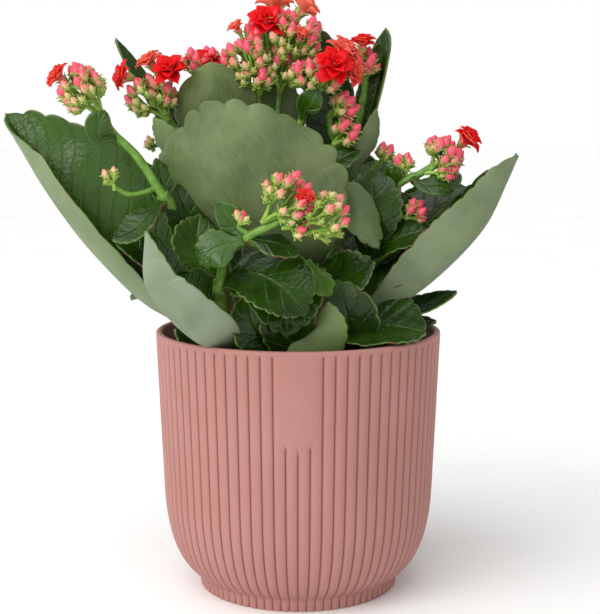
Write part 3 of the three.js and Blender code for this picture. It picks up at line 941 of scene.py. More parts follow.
@dataclass(frozen=True)
class Stalk:
    """A flower stalk: the stem and height that it leaves from, and its branches.

    A side branch starts with the share of the main branch at which it leaves it.
    """

    name: str
    stem: str
    height: float
    main: tuple[Point, ...]
    sides: tuple[tuple[float, tuple[Point, ...]], ...] = ()
    joints: tuple[float, ...] = (0.62,)

    def strands(self) -> list[Strand]:
        """The stalk's tubes, thinner towards the flowers."""
        line = GrownLine([on_stem(self.stem, self.height), *map(Vector, self.main)])
        radii = (STALK_RADIUS * 1.25, STALK_RADIUS, STALK_RADIUS * 0.85)
        tubes = [Strand(line, radii, self.joints, 24)]
        for share, points in self.sides:
            side = GrownLine([line.point(share), *map(Vector, points)])
            tubes.append(Strand(side, (STALK_RADIUS * 0.72, STALK_RADIUS * 0.55)))
        return tubes


STALKS = [
    Stalk("left", "left", 194, ((-75, -33, 214), (-86, -32, 225), (-91, -31, 234)),
          ((0.08, ((-77, -38, 196), (-85, -40, 200))),), (0.8,)),
    Stalk("upper_left", "back_left", 212, ((-58, 0, 223), (-64, -8, 233)),
          ((0.5, ((-66, -3, 219), (-72, -5, 217))),)),
    Stalk("upper_back", "back_left", 200, ((-49, 9, 225), (-46, 6, 240), (-46, 5, 252))),
    Stalk("middle", "centre", 203, ((-12, 3, 217), (-18, 1, 229), (-20, 0, 243)),
          ((0.2, ((-10, 5, 222), (-10, 5, 234), (-9, 6, 246))),)),
    Stalk("right_of_middle", "centre", 200, ((-4, 0, 217), (1, -1, 229), (7, -3, 242)), (), (0.78,)),
    Stalk("upper_right", "back", 198, ((22, 12, 212), (16, 5, 226), (15, 4, 234)),
          ((0.3, ((16, 6, 214), (18, 0, 221))),)),
    Stalk("back", "back", 203, ((30, 23, 225), (33, 24, 242), (34, 25, 254))),
    Stalk("right_back", "back", 190, ((30, 20, 196), (36, 15, 203), (40, 14, 210))),
    Stalk("right", "right", 193, ((51, -4, 201), (58, -6, 204), (66, -7, 209)),
          ((0.45, ((50, -3, 207),)), (0.05, ((48, -6, 184), (54, -8, 184)))), (0.55,)),
    Stalk("front", "front", 155,
          ((-33, -54, 168), (-23, -61, 178), (-12, -65, 184), (-6, -67, 187)),
          ((0.55, ((-26, -62, 183), (-25, -63, 186))),), (0.52,)),
]


@dataclass
class StemsAndStalks:
    """The six stems and the flower stalks that leave them."""

    palette: Palette
    leaf_heights: dict[str, list[float]] = field(default_factory=dict)

    def build(self) -> None:
        """Builds each stem and each stalk as a piece of its own."""
        for name, line in STEM_LINES.items():
            self.build_stem(name, line)
        for stalk in STALKS:
            piece = grow_strands(f"stalk_{stalk.name}", stalk.strands())
            piece.data.materials.append(self.palette.stalk)
            settle(piece, [f"flower_stalk_{stalk.name}"])

    def build_stem(self, name: str, line: GrownLine) -> None:
        """Builds a stem: swollen where leaves leave it, woody near the soil, thinner at the top."""
        joints = tuple(share_on_stem(name, z) for z in self.leaf_heights.get(name, []))
        radii = (STEM_RADIUS * 1.08, STEM_RADIUS, STEM_RADIUS * 0.9, STEM_RADIUS * 0.72)
        piece = grow_strands(f"main_stem_{name}", [Strand(line, radii, joints, 48)], 4)
        heights = read_points(piece)[:, 2] / MM
        set_attribute(piece, "woody", smooth_step(SOIL_TOP + 34, SOIL_TOP + 2, heights) * 0.8)
        piece.data.materials.append(self.palette.stem)
        settle(piece, [f"stem_{name}"])


# --- leaves ---------------------------------------------------------------------------------------
PETIOLE_HALF_WIDTH = 2.6
RIB_SAMPLES = 120
# The teeth: how sharp their notches are, how far these cut in, and where on the way out they start.
TOOTH_POWER = 0.55
TOOTH_LEVEL = 0.65
TOOTH_START = 0.68
# Shares of the full thickness that the leaf's stalk and its blade have, and that the margin lacks.
STALK_FLESH = 0.95
BLADE_FLESH = 0.55
MARGIN_LOSS = 0.62


@dataclass(frozen=True)
class Leaf:
    """One leaf. Sizes in millimetres and angles in degrees.

    The stem and height say where it leaves the plant; a leaf that has no CAD solid gives its base
    instead. The rib's points run along the midrib to the tip, and up is the way that its upper side
    looks. half is its half width, widest where along it that is, fold the angle between the halves
    and bend their further curl. near makes the half on one side narrower, near_fold folds it more,
    and skew moves its widest place towards the base. A low fullness gives a blade that is broad
    from its base. lobe is the spacing of the rounded teeth. A pale leaf shows its underside, a
    young one has a yellower tint, and bloom is how much grey wax the underside keeps, together
    with a painted sheen: it is set higher on leaves that stand in the light and to nothing on
    shaded ones.
    """

    name: str
    rib: tuple[Point, ...]
    up: Point
    half: float
    widest: float = 0.55
    fold: float = 8.0
    bend: float = 20.0
    stem: str = ""
    height: float = 0.0
    base: Point | None = None
    near: float = 1.0
    near_fold: float | None = None
    skew: float = 0.0
    fullness: float = 1.5
    pale: bool = False
    tint: float = 0.0
    # Grey wax on the underside, together with a painted sheen: higher on lit leaves, nothing on
    # shaded ones.
    wax_and_sheen: float = 0.15
    lobe: float = 5.5
    lobe_depth: float = 1.5
    ripple: float = 0.8
    pucker: float = 0.0

    def start(self) -> Vector:
        """Where the leaf leaves the plant."""
        return Vector(self.base) if self.base else on_stem(self.stem, self.height)

    def node(self) -> list[str]:
        """The CAD node that the leaf stands for, if it has one."""
        return [] if self.base else [f"leaf_{self.name}"]


class LeafShape:
    """The surface of one leaf, worked out from its description."""

    def __init__(self, leaf: Leaf, seed: int) -> None:
        """Samples the midrib and the frame across it."""
        self.leaf = leaf
        self.seed = seed
        self.line = GrownLine([leaf.start(), *map(Vector, leaf.rib)])
        self.length = self.line.length()
        self.shares = np.linspace(0, 1, RIB_SAMPLES + 1)
        self.middles = np.array([self.line.point(s) for s in self.shares])
        self.alongs = np.array([self.line.tangent(s) for s in self.shares])
        up = np.array(leaf.up, dtype=float)
        normals = up - self.alongs * (self.alongs @ up)[:, None]
        self.normals = normals / np.linalg.norm(normals, axis=1)[:, None]
        self.sides = np.cross(self.alongs, self.normals)
        self.widths = np.array([self.half_width(s) for s in self.shares])
        self.centre = self.length * leaf.widest * 0.85
        self.outlines = {near: self.outline(near) for near in (False, True)}

    def side_width(self, share: np.ndarray, near: bool) -> np.ndarray:
        """Half width of one side at shares of the length."""
        leaf = self.leaf
        skewed = share ** (1 - leaf.skew if near else 1 + leaf.skew)
        return np.interp(skewed, self.shares, self.widths) * (leaf.near if near else 1.0)

    def outline(self, near: bool) -> tuple[np.ndarray, ...]:
        """One side's margin from the tip to the stalk, seen from the blade's centre.

        Args:
            near: Whether it is the side that can be narrower.

        Returns:
            Angles from the tip, distances from the centre, run along the margin, and shares.
        """
        share = self.shares[::-1]
        ahead, aside = share * self.length - self.centre, self.side_width(share, near)
        angle = np.maximum.accumulate(np.arctan2(aside, ahead))
        steps = np.hypot(np.diff(ahead), np.diff(aside))
        return angle, np.hypot(ahead, aside), np.concatenate([[0.0], np.cumsum(steps)]), share

    def half_width(self, share: float) -> float:
        """Half width: a thin stalk, a swelling blade and a blunt tip."""
        leaf = self.leaf
        rise = math.sin(math.pi / 2 * min(share / leaf.widest, 1)) ** leaf.fullness
        fall = math.cos(math.pi / 2 * max((share - leaf.widest) / (1 - leaf.widest), 0)) ** 0.6
        unevenness = 1 + 0.05 * noise.noise(Vector((share * 3.0, self.seed * 1.7, 0.5)))
        smallest = PETIOLE_HALF_WIDTH * min(leaf.half / 9, 1) if share < leaf.widest else 0.25
        return max(leaf.half * rise * fall * unevenness, smallest)

    def sample(self, table: np.ndarray, share: np.ndarray) -> np.ndarray:
        """Reads rows of a table along the midrib at some shares of it."""
        return np.column_stack([np.interp(share, self.shares, table[:, k]) for k in range(3)])

    def teeth(self, near: bool, ahead: np.ndarray, aside: np.ndarray) -> np.ndarray:
        """How far each point moves out from the centre: rounded lobes with sharp notches."""
        leaf = self.leaf
        angles, edges, runs, shares = self.outlines[near]
        angle = np.arctan2(aside, ahead)
        run = np.interp(angle, angles, runs) / (leaf.lobe * (1.07 if near else 1.0))
        wander = [0.55 * noise.noise(Vector((r * 0.6, self.seed * 2.3, near))) for r in run]
        bulge = np.abs(np.sin(math.pi * (run + wander + 0.5))) ** TOOTH_POWER - TOOTH_LEVEL
        way_out = np.hypot(ahead, aside) / np.interp(angle, angles, edges)
        outer = smooth_step(TOOTH_START, 1.0, way_out)
        uneven = [1 + 0.9 * noise.noise(Vector((r * 0.45, self.seed * 3.7, 5.0 + near)))
                  for r in run]
        start = smooth_step(0.25, 0.5, np.interp(angle, angles, shares))
        return bulge * leaf.lobe_depth * np.array(uneven) * outer * start

    def surface(self, u: np.ndarray, v: np.ndarray) -> dict[str, np.ndarray]:
        """Works out the blade at grid places.

        Args:
            u: From 0 at the stem to 1 at the tip.
            v: From -1 at one margin to 1 at the other.

        Returns:
            Arrays: points in metres, weight for the thickness, edge distance, and map u and v.
        """
        leaf = self.leaf
        share = np.minimum(1 - (1 - u) ** 1.7, 0.9995)
        is_near = v < 0
        width = np.where(is_near, self.side_width(share, True), self.side_width(share, False))
        ahead, aside = share * self.length - self.centre, np.abs(v) * width
        tooth = np.where(is_near, self.teeth(True, ahead, aside), self.teeth(False, ahead, aside))
        angle = np.arctan2(aside, ahead)
        share = share + tooth * np.cos(angle) / self.length
        reach = np.maximum(aside + tooth * np.sin(angle), 0.0)

        foldable = np.minimum(width / 12, 1)
        near_fold = leaf.fold if leaf.near_fold is None else leaf.near_fold
        fold = np.radians(np.where(is_near, near_fold, leaf.fold)) * foldable
        bend = math.radians(leaf.bend) * foldable * np.abs(v) + 1e-4
        turn = fold + bend
        out = reach * (np.sin(turn) - np.sin(fold)) / bend
        lift = reach * (np.cos(fold) - np.cos(turn)) / bend

        middle = self.sample(self.middles, share)
        beyond = np.maximum(share - 1, 0) * self.length
        middle += self.sample(self.alongs, share) * beyond[:, None]
        side, normal = self.sample(self.sides, share), self.sample(self.normals, share)
        sign = np.sign(v)
        points = middle + side * (sign * out)[:, None] + normal * lift[:, None]
        face = normal * np.cos(turn)[:, None] - side * (sign * np.sin(turn))[:, None]
        points += face * self.unevenness(share, v, reach)[:, None]
        weight = STALK_FLESH + (BLADE_FLESH - STALK_FLESH) * smooth_step(0.05, 0.3, share)
        weight = weight * (1 - MARGIN_LOSS * np.abs(v) ** 2 * smooth_step(0.1, 0.35, share))
        return {"points": points * MM, "weight": weight, "edge": (1 - np.abs(v)) * width,
                "map_u": v * leaf.half / 100, "map_v": share * self.length / 100}

    def unevenness(self, share: np.ndarray, v: np.ndarray, reach: np.ndarray) -> np.ndarray:
        """Gentle waves, larger at the margin, and the quilting between the veins."""
        leaf = self.leaf
        along = share * self.length
        waves = np.array([noise.noise(Vector((a / 21, math.copysign(r, w) / 21, self.seed * 3.1)))
                          for a, r, w in zip(along, reach, v)])
        blade = smooth_step(0.12, 0.4, share) * smooth_step(1.0, 0.9, share)
        height = leaf.ripple * waves * (0.35 + 0.9 * v ** 2) * blade
        spot = ((along - 0.8 * reach) / (leaf.lobe * 1.15)) % 1.0
        quilt = np.abs(np.sin(math.pi * spot)) ** 0.7 - 1
        rib = -0.7 * np.exp(-(reach / 1.8) ** 2)
        quilting = leaf.pucker * quilt * smooth_step(0, 5, reach)
        return height + (quilting + rib * (leaf.half > 12)) * blade


@dataclass
class Foliage:
    """Builds the leaves: each a grid shaped to its blade, thickened and rounded."""

    palette: Palette
    thickness_mm: float = 4.2       # at full weight, which only the leaf's stalk comes near
    row_gap_mm: float = 0.6

    def build(self, leaf: Leaf, seed: int) -> Piece:
        """Builds one leaf.

        Args:
            leaf: Its description.
            seed: Sets its own unevenness.

        Returns:
            The finished piece.
        """
        shape = LeafShape(leaf, seed)
        rows = int(min(max(shape.length / self.row_gap_mm, 24), 150))
        columns = int(min(max(leaf.half * 0.55, 8), 24)) // 2 * 2
        bpy.ops.mesh.primitive_grid_add(x_subdivisions=columns, y_subdivisions=rows, size=2)
        blade = active_piece(f"blade_{leaf.name}")
        grid = read_points(blade)
        parts = shape.surface(np.clip((grid[:, 1] + 1) / 2, 0, 1), grid[:, 0])
        write_points(blade, parts["points"])
        set_attribute(blade, "edge", parts["edge"])
        set_attribute(blade, "tint", leaf.tint)
        # The leaf's share of grey wax and painted sheen on its underside.
        set_attribute(blade, "wax_and_sheen", leaf.wax_and_sheen)
        self.map_blade(blade, parts)
        self.thicken(blade, parts["weight"])
        shade_smooth(blade)
        return settle(blade, leaf.node())

    def map_blade(self, blade: Piece, parts: dict[str, np.ndarray]) -> None:
        """Writes the blade's map: across and along, 1 being 100 mm."""
        layer = blade.data.uv_layers["UVMap"]
        corners = np.empty(len(blade.data.loops), dtype=int)
        blade.data.loops.foreach_get("vertex_index", corners)
        places = np.column_stack([parts["map_u"][corners], parts["map_v"][corners]])
        layer.data.foreach_set("uv", places.ravel())

    def thicken(self, blade: Piece, weights: np.ndarray) -> None:
        """Gives the blade its flesh, thinner at the margin, and rounds its edges."""
        group = blade.vertex_groups.new(name="flesh")
        for index, weight in enumerate(weights):
            group.add([index], float(weight), "REPLACE")
        skins = (self.palette.upper, self.palette.under, self.palette.margin)
        flesh = add_flesh(blade, self.thickness_mm * MM, skins)
        flesh.vertex_group = group.name
        rounding = blade.modifiers.new("rounding", "SUBSURF")
        rounding.levels = rounding.render_levels = 1
        apply_modifiers(blade)


LEAVES = [
    # in front
    Leaf("front_broad", ((-15, -30, 175), (-27, -42, 206), (-42, -44, 237)), (0.15, 1, 0.3), 52,
         0.62, 4, 30, "centre", 146, near=0.87, skew=0.34, pale=True, lobe=12.5,
         lobe_depth=3.6, ripple=1.8),
    Leaf("left_large", ((-70, -16, 141), (-112, -22, 188), (-139, -12, 232)), (0.5, -0.7, 0.5), 48,
         0.52, 34, 34, "left", 124, near=0.36, near_fold=66, lobe=15, lobe_depth=1.8, ripple=1.5,
         tint=0.4, wax_and_sheen=0.5),
    Leaf("front_left", ((-47, -60, 132), (-67, -64, 156), (-67, -61, 181)), (0.62, 0.12, 0.78), 32,
         0.36, 54, 14, "front", 121, near=0.68, fullness=0.8, pale=True, lobe=8, lobe_depth=1.2,
         wax_and_sheen=0.9),
    Leaf("right_large", ((53, -22, 146), (87, -21, 178), (105, -8, 213)), (-0.69, 0.25, 0.72), 22,
         0.5, 52, 16, "right", 130, near=1.3, pale=True, lobe=9, lobe_depth=1.8, ripple=1.4,
         wax_and_sheen=0.5),
    Leaf("front_round", ((-22, -57, 161), (-8, -64, 156), (3, -67, 145)), (0.1, -0.72, 0.68), 19,
         0.56, 2, 26, "front", 153, lobe=5, lobe_depth=2.3, pucker=0.9),
    Leaf("front_lower", ((-7, -28, 160), (-6, -45, 151), (-5, -52, 133)), (0, -0.5, 0.85), 20,
         0.6, 4, 24, "centre", 150, lobe=8, lobe_depth=2.2, pucker=0.6),
    Leaf("right_low_glossy", ((30, -28, 132), (45, -37, 134), (59, -41, 132)), (0.05, -0.5, 0.87),
         22, 0.55, 4, 20, "right", 126, lobe=8, lobe_depth=1.8, pucker=0.9),
    Leaf("front_rim", ((5, -45, 124), (13, -48, 134), (14, -45, 147)), (0.3, 0.9, 0.2), 12,
         0.42, 6, 24, "front", 120, pale=True, tint=0.45),
    Leaf("left_inner", ((-58, -20, 158), (-74, -24, 168), (-86, -24, 178)), (0.4, -0.6, 0.65), 15,
         0.55, 14, 20, "left", 146, pucker=0.4),
    Leaf("front_crenate", ((-42, -42, 162), (-47, -38, 174), (-46, -34, 186)), (0.3, -0.9, 0.2), 13,
         0.6, 8, 20, "front", 144, lobe=4.6, lobe_depth=2.1, tint=0.15),
    Leaf("left_veined", ((-68, -42, 187), (-75, -45, 180), (-84, -47, 176)), (-0.2, -0.7, 0.7), 8.5,
         0.6, 8, 20, "left", 193, lobe=4.2, pucker=0.6),
    Leaf("left_shaded", ((-48, -26, 178), (-53, -29, 190), (-57, -30, 200)), (0.2, -0.9, 0.3), 13,
         0.5, 8, 16, "left", 160),
    Leaf("right_pointing", ((46, -9, 136), (62, -10, 141), (77, -8, 147)), (-0.2, -0.5, 0.85), 8,
         0.55, 12, 20, "right", 122, lobe=6),
    Leaf("right_crenate", ((8, -14, 150), (23, -27, 156), (35, -34, 164)), (0, -0.8, 0.6), 15,
         0.62, 6, 20, "centre", 140, lobe=5.5, lobe_depth=2.2),
    Leaf("right_pale", ((8, -9, 197), (26, -14, 190), (38, -18, 170)), (-0.4, 0.6, 0.5), 10,
         0.7, 8, 24, "centre", 190, pale=True, lobe=7),
    Leaf("right_dark", ((35, -7, 176), (36, -9, 192), (35, -7, 206)), (0, -1, 0.2), 15,
         0.6, 6, 16, "right", 158, lobe=6, lobe_depth=1.8),
    Leaf("right_hanging", ((49, -3, 190), (52, -5, 181), (50, -5, 170)), (0.3, -0.9, 0.3), 9,
         0.55, 4, 18, "right", 190, lobe=6),
    Leaf("right_behind", ((52, 8, 174), (70, 12, 186), (87, 15, 196)), (-0.3, -0.6, 0.7), 17,
         0.55, 8, 18, "right", 160),
    Leaf("right_wrinkled", ((44, -11, 170), (54, -15, 175), (66, -15, 178)), (0.1, -0.6, 0.8), 11,
         0.55, 8, 18, "right", 154, lobe=6, pucker=0.8),
    # behind
    Leaf("upper_behind", ((-43, -1, 214), (-40, -9, 238), (-41, -11, 257)), (0, 1, 0.25), 21,
         0.62, 4, 26, "back_left", 192, pale=True, wax_and_sheen=0.0, lobe=9, lobe_depth=1.4),
    Leaf("upper_left_narrow", ((-66, 10, 230), (-78, 11, 250), (-89, 10, 269)), (0.6, -0.8, 0.4), 5.5,
         0.5, 45, 20, "back_left", 208, lobe_depth=0.5, wax_and_sheen=0.6),
    Leaf("upper_right_tall", ((35, 22, 226), (42, 25, 252), (44, 26, 275)), (-0.6, -0.6, 0.3), 11,
         0.55, 34, 20, "back", 196, lobe=8, lobe_depth=0.7),
    Leaf("top_back", ((20, 36, 212), (15, 38, 244), (12, 36, 275)), (0, -1, 0.2), 15,
         0.55, 10, 18, "back", 180, lobe=9),
    Leaf("back_broad", ((14, 56, 162), (16, 70, 192), (12, 76, 222)), (0, -1, 0.35), 34,
         0.6, 6, 30, "back", 138, lobe=12, lobe_depth=1.8, ripple=1.4),
    Leaf("back_left_large", ((-58, 48, 158), (-80, 60, 184), (-94, 62, 208)), (0.5, -0.6, 0.5), 27,
         0.55, 12, 26, "back_left", 140, lobe=11, lobe_depth=1.5, ripple=1.2),
    Leaf("back_right_large", ((46, 44, 150), (70, 54, 176), (84, 56, 204)), (-0.5, -0.6, 0.6), 26,
         0.55, 12, 26, "back", 130, lobe=11, lobe_depth=1.5, ripple=1.2),
    Leaf("back_low", ((-8, 54, 137), (-14, 74, 142), (-18, 88, 135)), (0, 0.3, 1), 18,
         0.58, 8, 20, "back", 122, pucker=0.6),
    Leaf("back_left_low", ((-52, 28, 137), (-72, 34, 143), (-87, 38, 138)), (-0.2, 0.1, 1), 17,
         0.58, 8, 20, "back_left", 126, pucker=0.6),
    Leaf("back_upper", ((-10, 28, 200), (-14, 44, 222), (-18, 50, 240)), (0, -0.7, 0.6), 17,
         0.58, 8, 22, "centre", 184, lobe=8, lobe_depth=1.1),
    # small ones that only the visual model has
    Leaf("red_tipped", ((-58, -28, 188), (-63, -28, 200), (-66, -28, 212)), (0.4, -0.9, 0.2), 7.5,
         base=(-52, -24, 177), tint=0.2),
    Leaf("low_in_pot", ((-48, -34, 125), (-57, -38, 133)), (0.2, -0.9, 0.5), 6.5,
         base=(-34, -30, 119), lobe=5),
    Leaf("low_right", ((52, 4, 127), (60, 3, 130), (68, 2, 131)), (0, -0.5, 0.9), 6.5,
         base=(42, 5, 124)),
    Leaf("bright_small", ((10, -48, 157), (14, -52, 151)), (0.2, -0.9, 0.3), 6,
         base=(4, -42, 166), tint=0.7),
    Leaf("shade", ((40, -10, 150), (56, -12, 158), (69, -12, 165)), (0, -0.4, 0.9), 16,
         base=(26, -3, 138)),
    Leaf("narrow_pale", ((30, 5, 212), (35, 5, 222), (38, 5, 235)), (-0.4, 0.9, 0.2), 5.5,
         base=(24, 5, 199), pale=True),
    Leaf("middle_right", ((16, -1, 208), (23, -3, 212), (30, -4, 215)), (-0.3, -0.8, 0.6), 7,
         base=(6, 2, 203), tint=0.1),
    Leaf("left_ear", ((-56, -20, 210), (-62, -22, 222), (-67, -23, 231)), (0.4, 0.9, 0.2), 7,
         base=(-46, -16, 196), pale=True, tint=0.4),
    Leaf("under_left", ((-44, -44, 150), (-56, -52, 158), (-64, -52, 166)), (0.3, -0.7, 0.6), 11,
         base=(-34, -40, 140)),
    Leaf("inner_middle", ((-18, -36, 150), (-24, -48, 154), (-30, -54, 152)), (0, -0.7, 0.7), 12,
         base=(-12, -10, 146), lobe=6.5, pucker=0.4),
    Leaf("back_middle", ((-30, 48, 160), (-34, 62, 182), (-38, 68, 204)), (0.1, -1, 0.35), 21,
         base=(-28, 27, 134), lobe=9, lobe_depth=1.2, ripple=1.2),
    Leaf("back_right_low", ((34, 50, 132), (50, 64, 138), (62, 72, 134)), (0.2, 0.2, 1), 17,
         base=(13, 31, 126), pucker=0.6),
    Leaf("back_right_upper", ((36, 40, 192), (42, 52, 202), (46, 58, 209)), (-0.4, -0.9, 0.3), 11,
         base=(24, 27, 184), lobe=8, lobe_depth=1.1),
    Leaf("back_left_upper", ((-52, 34, 202), (-60, 44, 220), (-66, 46, 238)), (0.4, -0.9, 0.4), 14,
         base=(-46, 18, 184), lobe=8, lobe_depth=1.1),
    Leaf("right_side", ((58, 22, 148), (74, 28, 160), (84, 30, 176)), (-0.5, -0.1, 0.8), 17,
         base=(34, 12, 134), lobe=8),
    Leaf("right_inner", ((30, 22, 150), (42, 26, 164), (48, 28, 180)), (-0.6, -0.3, 0.7), 15,
         base=(20, 20, 134), lobe=7),
    Leaf("left_side", ((-56, 8, 148), (-70, 12, 160), (-80, 14, 174)), (0.5, -0.1, 0.8), 16,
         base=(-36, 6, 134), lobe=8),
    Leaf("behind_stalks", ((-22, 10, 214), (-14, 12, 234), (-8, 12, 252)), (0.1, 1, 0.25), 21,
         base=(-30, 10, 194), pale=True, wax_and_sheen=0.0, lobe=9, lobe_depth=1.2),
    Leaf("back_small", ((2, 44, 186), (0, 54, 200), (-2, 58, 214)), (0, -0.9, 0.5), 11,
         base=(10, 28, 172), tint=0.2),
    Leaf("dark_inner_left", ((-16, -48, 130), (-21, -52, 140), (-24, -52, 151)), (0.3, -0.9, 0.2), 14,
         base=(-8, -38, 119), fullness=0.8, pucker=0.5),
    Leaf("dark_inner_middle", ((-4, -44, 130), (-6, -46, 142), (-9, -44, 155)), (0.1, -0.9, 0.2), 14,
         base=(-2, -36, 119), fullness=0.8),
    Leaf("dark_inner_right", ((24, -34, 128), (22, -38, 142), (18, -36, 156)), (0.1, -0.9, 0.3), 15,
         base=(24, -26, 119), fullness=0.8),
    # bracts on the flower stalks
    Leaf("bract_left", ((-91, -36, 222), (-91, -38, 228), (-88, -38, 234)), (0.1, -1, 0.1), 6.5,
         0.6, 8, 14, base=(-84, -33, 222), tint=0.3, lobe=30),
    Leaf("bract_middle", ((3, -5, 235), (6, -8, 239), (9, -9, 245)), (0.1, -1, 0.1), 6.5,
         0.6, 8, 14, base=(2, -2, 231), tint=0.3, lobe=30),
    Leaf("bract_right", ((60, -10, 199), (68, -12, 199), (74, -12, 197)), (0, -0.8, 0.6), 6,
         0.6, 8, 14, base=(55, -6, 202), tint=0.1, lobe=30),
    Leaf("bract_right_inner", ((47, -4, 200), (46, -6, 206), (47, -6, 211)), (-0.3, -0.9, 0.1), 4.5,
         0.6, 8, 14, base=(49, -4, 196), tint=0.3, lobe=30),
    Leaf("bract_front_left", ((-31, -62, 175), (-38, -62, 172), (-43, -61, 166)), (-0.3, -0.9, 0.3),
         9.5, 0.6, 4, 14, base=(-24, -61, 177), tint=0.35, lobe=4.2, lobe_depth=1.4),
    Leaf("bract_front_upper", ((-27, -58, 182), (-31, -57, 187), (-36, -56, 193)), (-0.2, -0.9, 0.2),
         6.5, 0.55, 8, 14, base=(-24, -60, 178), tint=0.3, lobe=30),
    Leaf("bract_front_right", ((-15, -63, 176), (-7, -64, 174), (0, -64, 171)), (0.1, -0.7, 0.7),
         6.5, 0.55, 6, 14, base=(-22, -61, 177), lobe=6),
]


# --- flower heads -----------------------------------------------------------------------------------
@dataclass(frozen=True)
class Cyme:
    """A tuft of buds: from its base, where its stalk ends, to its crown. Millimetres."""

    base: Point
    crown: Point
    radius: float
    buds: int
    ripeness: float = 0.6
    spread: float = 112.0       # widest angle from the axis at which a bud stands, in degrees


@dataclass(frozen=True)
class Floret:
    """An open double flower: its middle, the way it faces, its width in mm, how open and faded."""

    middle: Point
    facing: Point
    width: float = 18.0
    opening: float = 1.0
    warmth: float = 0.0


@dataclass(frozen=True)
class Head:
    """A flower head: its cymes and its open flowers."""

    name: str
    cymes: tuple[Cyme, ...]
    florets: tuple[Floret, ...] = ()
    in_cad: bool = True


HEADS = [
    Head("left", (Cyme((-90, -31, 231), (-107, -31, 255), 10.5, 44, 0.5),),
         (Floret((-110, -33, 250), (-0.75, -0.25, 0.6), 15, 0.75),)),
    Head("small_left", (Cyme((-84, -40, 199), (-87, -40, 210), 4, 5, 0.1),)),
    Head("upper_left", (Cyme((-63, -7, 231), (-80, -10, 250), 10.5, 26, 0.3),
                        Cyme((-63, -7, 231), (-66, -8, 250), 7, 11, 0.5)),
         (Floret((-61, -14, 254), (-0.1, -0.75, 0.65), 19),
          Floret((-71, -6, 258), (-0.5, -0.2, 0.85), 16, 0.8, 0.7),
          Floret((-83, -13, 251), (-0.9, -0.4, 0.25), 16, 0.8))),
    Head("upper_back", (Cyme((-46, 5, 249), (-47, 4, 266), 10, 17, 0.7),),
         (Floret((-44, 0, 259), (0.15, -0.35, 0.95), 16, 0.9),
          Floret((-54, 8, 257), (-0.5, 0.3, 0.8), 14, 0.8))),
    Head("top_left", (Cyme((-20, 0, 241), (-20, -5, 259), 9.5, 24, 0.35),
                      Cyme((-19, 0, 243), (-31, -2, 270), 11, 30, 0.55)),
         (Floret((-29.5, -1, 274), (-0.5, -0.3, 0.85), 11, 0.5, 0.6),)),
    Head("top", (Cyme((-9, 6, 246), (-12, 3, 285), 16, 64, 0.55),
                 Cyme((-9, 6, 247), (4, 4, 284), 12, 34, 0.6),
                 Cyme((-9, 5, 244), (-5, -3, 262), 9, 14, 0.3)),
         (Floret((-14.5, -4, 277), (0.05, -0.75, 0.6), 21),
          Floret((-11, 8, 286), (0.0, 0.2, 1.0), 20, 0.8, 0.75),
          Floret((3, 6, 284), (0.65, 0.1, 0.75), 19, 0.75, 0.85),
          Floret((1, -5, 270), (0.35, -0.5, 0.8), 12, 0.45, 0.5))),
    Head("top_right", (Cyme((6, -3, 240), (3, -8, 260), 9, 24, 0.4),
                       Cyme((7, -3, 241), (18, -6, 262), 9, 16, 0.7)),
         (Floret((17, -16, 256), (0.1, -0.85, 0.4), 21),
          Floret((22, -7, 263), (0.5, -0.35, 0.75), 19, 0.85, 0.6),
          Floret((26, -10, 253), (0.7, -0.6, 0.1), 16, 0.85, 0.4))),
    Head("right_of_top", (Cyme((15, 4, 232), (29, 0, 241), 7.5, 16, 0.6),)),
    Head("small_right", (Cyme((18, 0, 219), (28, -5, 229), 6.5, 12, 0.5),)),
    Head("back", (Cyme((34, 25, 251), (34, 22, 266), 7.5, 14, 0.65),),
         (Floret((32, 19, 268), (0.0, -0.35, 0.9), 15, 0.7),)),
    Head("right_back", (Cyme((40, 14, 208), (46, 13, 220), 5.5, 9, 0.45),)),
    Head("right", (Cyme((64, -7, 207), (76, -9, 221), 10.5, 31, 0.6),
                   Cyme((62, -7, 205), (78, -10, 208), 7, 12, 0.4)),
         (Floret((81, -9, 221), (0.6, -0.5, 0.6), 17, 0.7),)),
    Head("front", (Cyme((-15, -66, 186), (4, -72, 205), 12, 30, 0.5, 125),
                   Cyme((0, -68, 180), (22, -73, 196), 11, 24, 0.22, 125),
                   Cyme((-6, -67, 183), (8, -72, 184), 7, 7, 0.3)),
         (Floret((3, -75, 196), (0.15, -0.65, 0.7), 13, 0.4, 0.15),)),
    Head("right_middle", (Cyme((49, -3, 204), (52, -3, 215), 5.5, 11, 0.4),), in_cad=False),
    Head("right_low", (Cyme((53, -8, 183), (62, -9, 190), 6, 9, 0.55),), in_cad=False),
    Head("front_small", (Cyme((-25, -63, 185), (-24, -63, 192), 3, 3, 0.3),), in_cad=False),
    Head("left_bud", (Cyme((-70, -5, 216), (-74, -6, 223), 2.5, 3, 0.2),), in_cad=False),
]


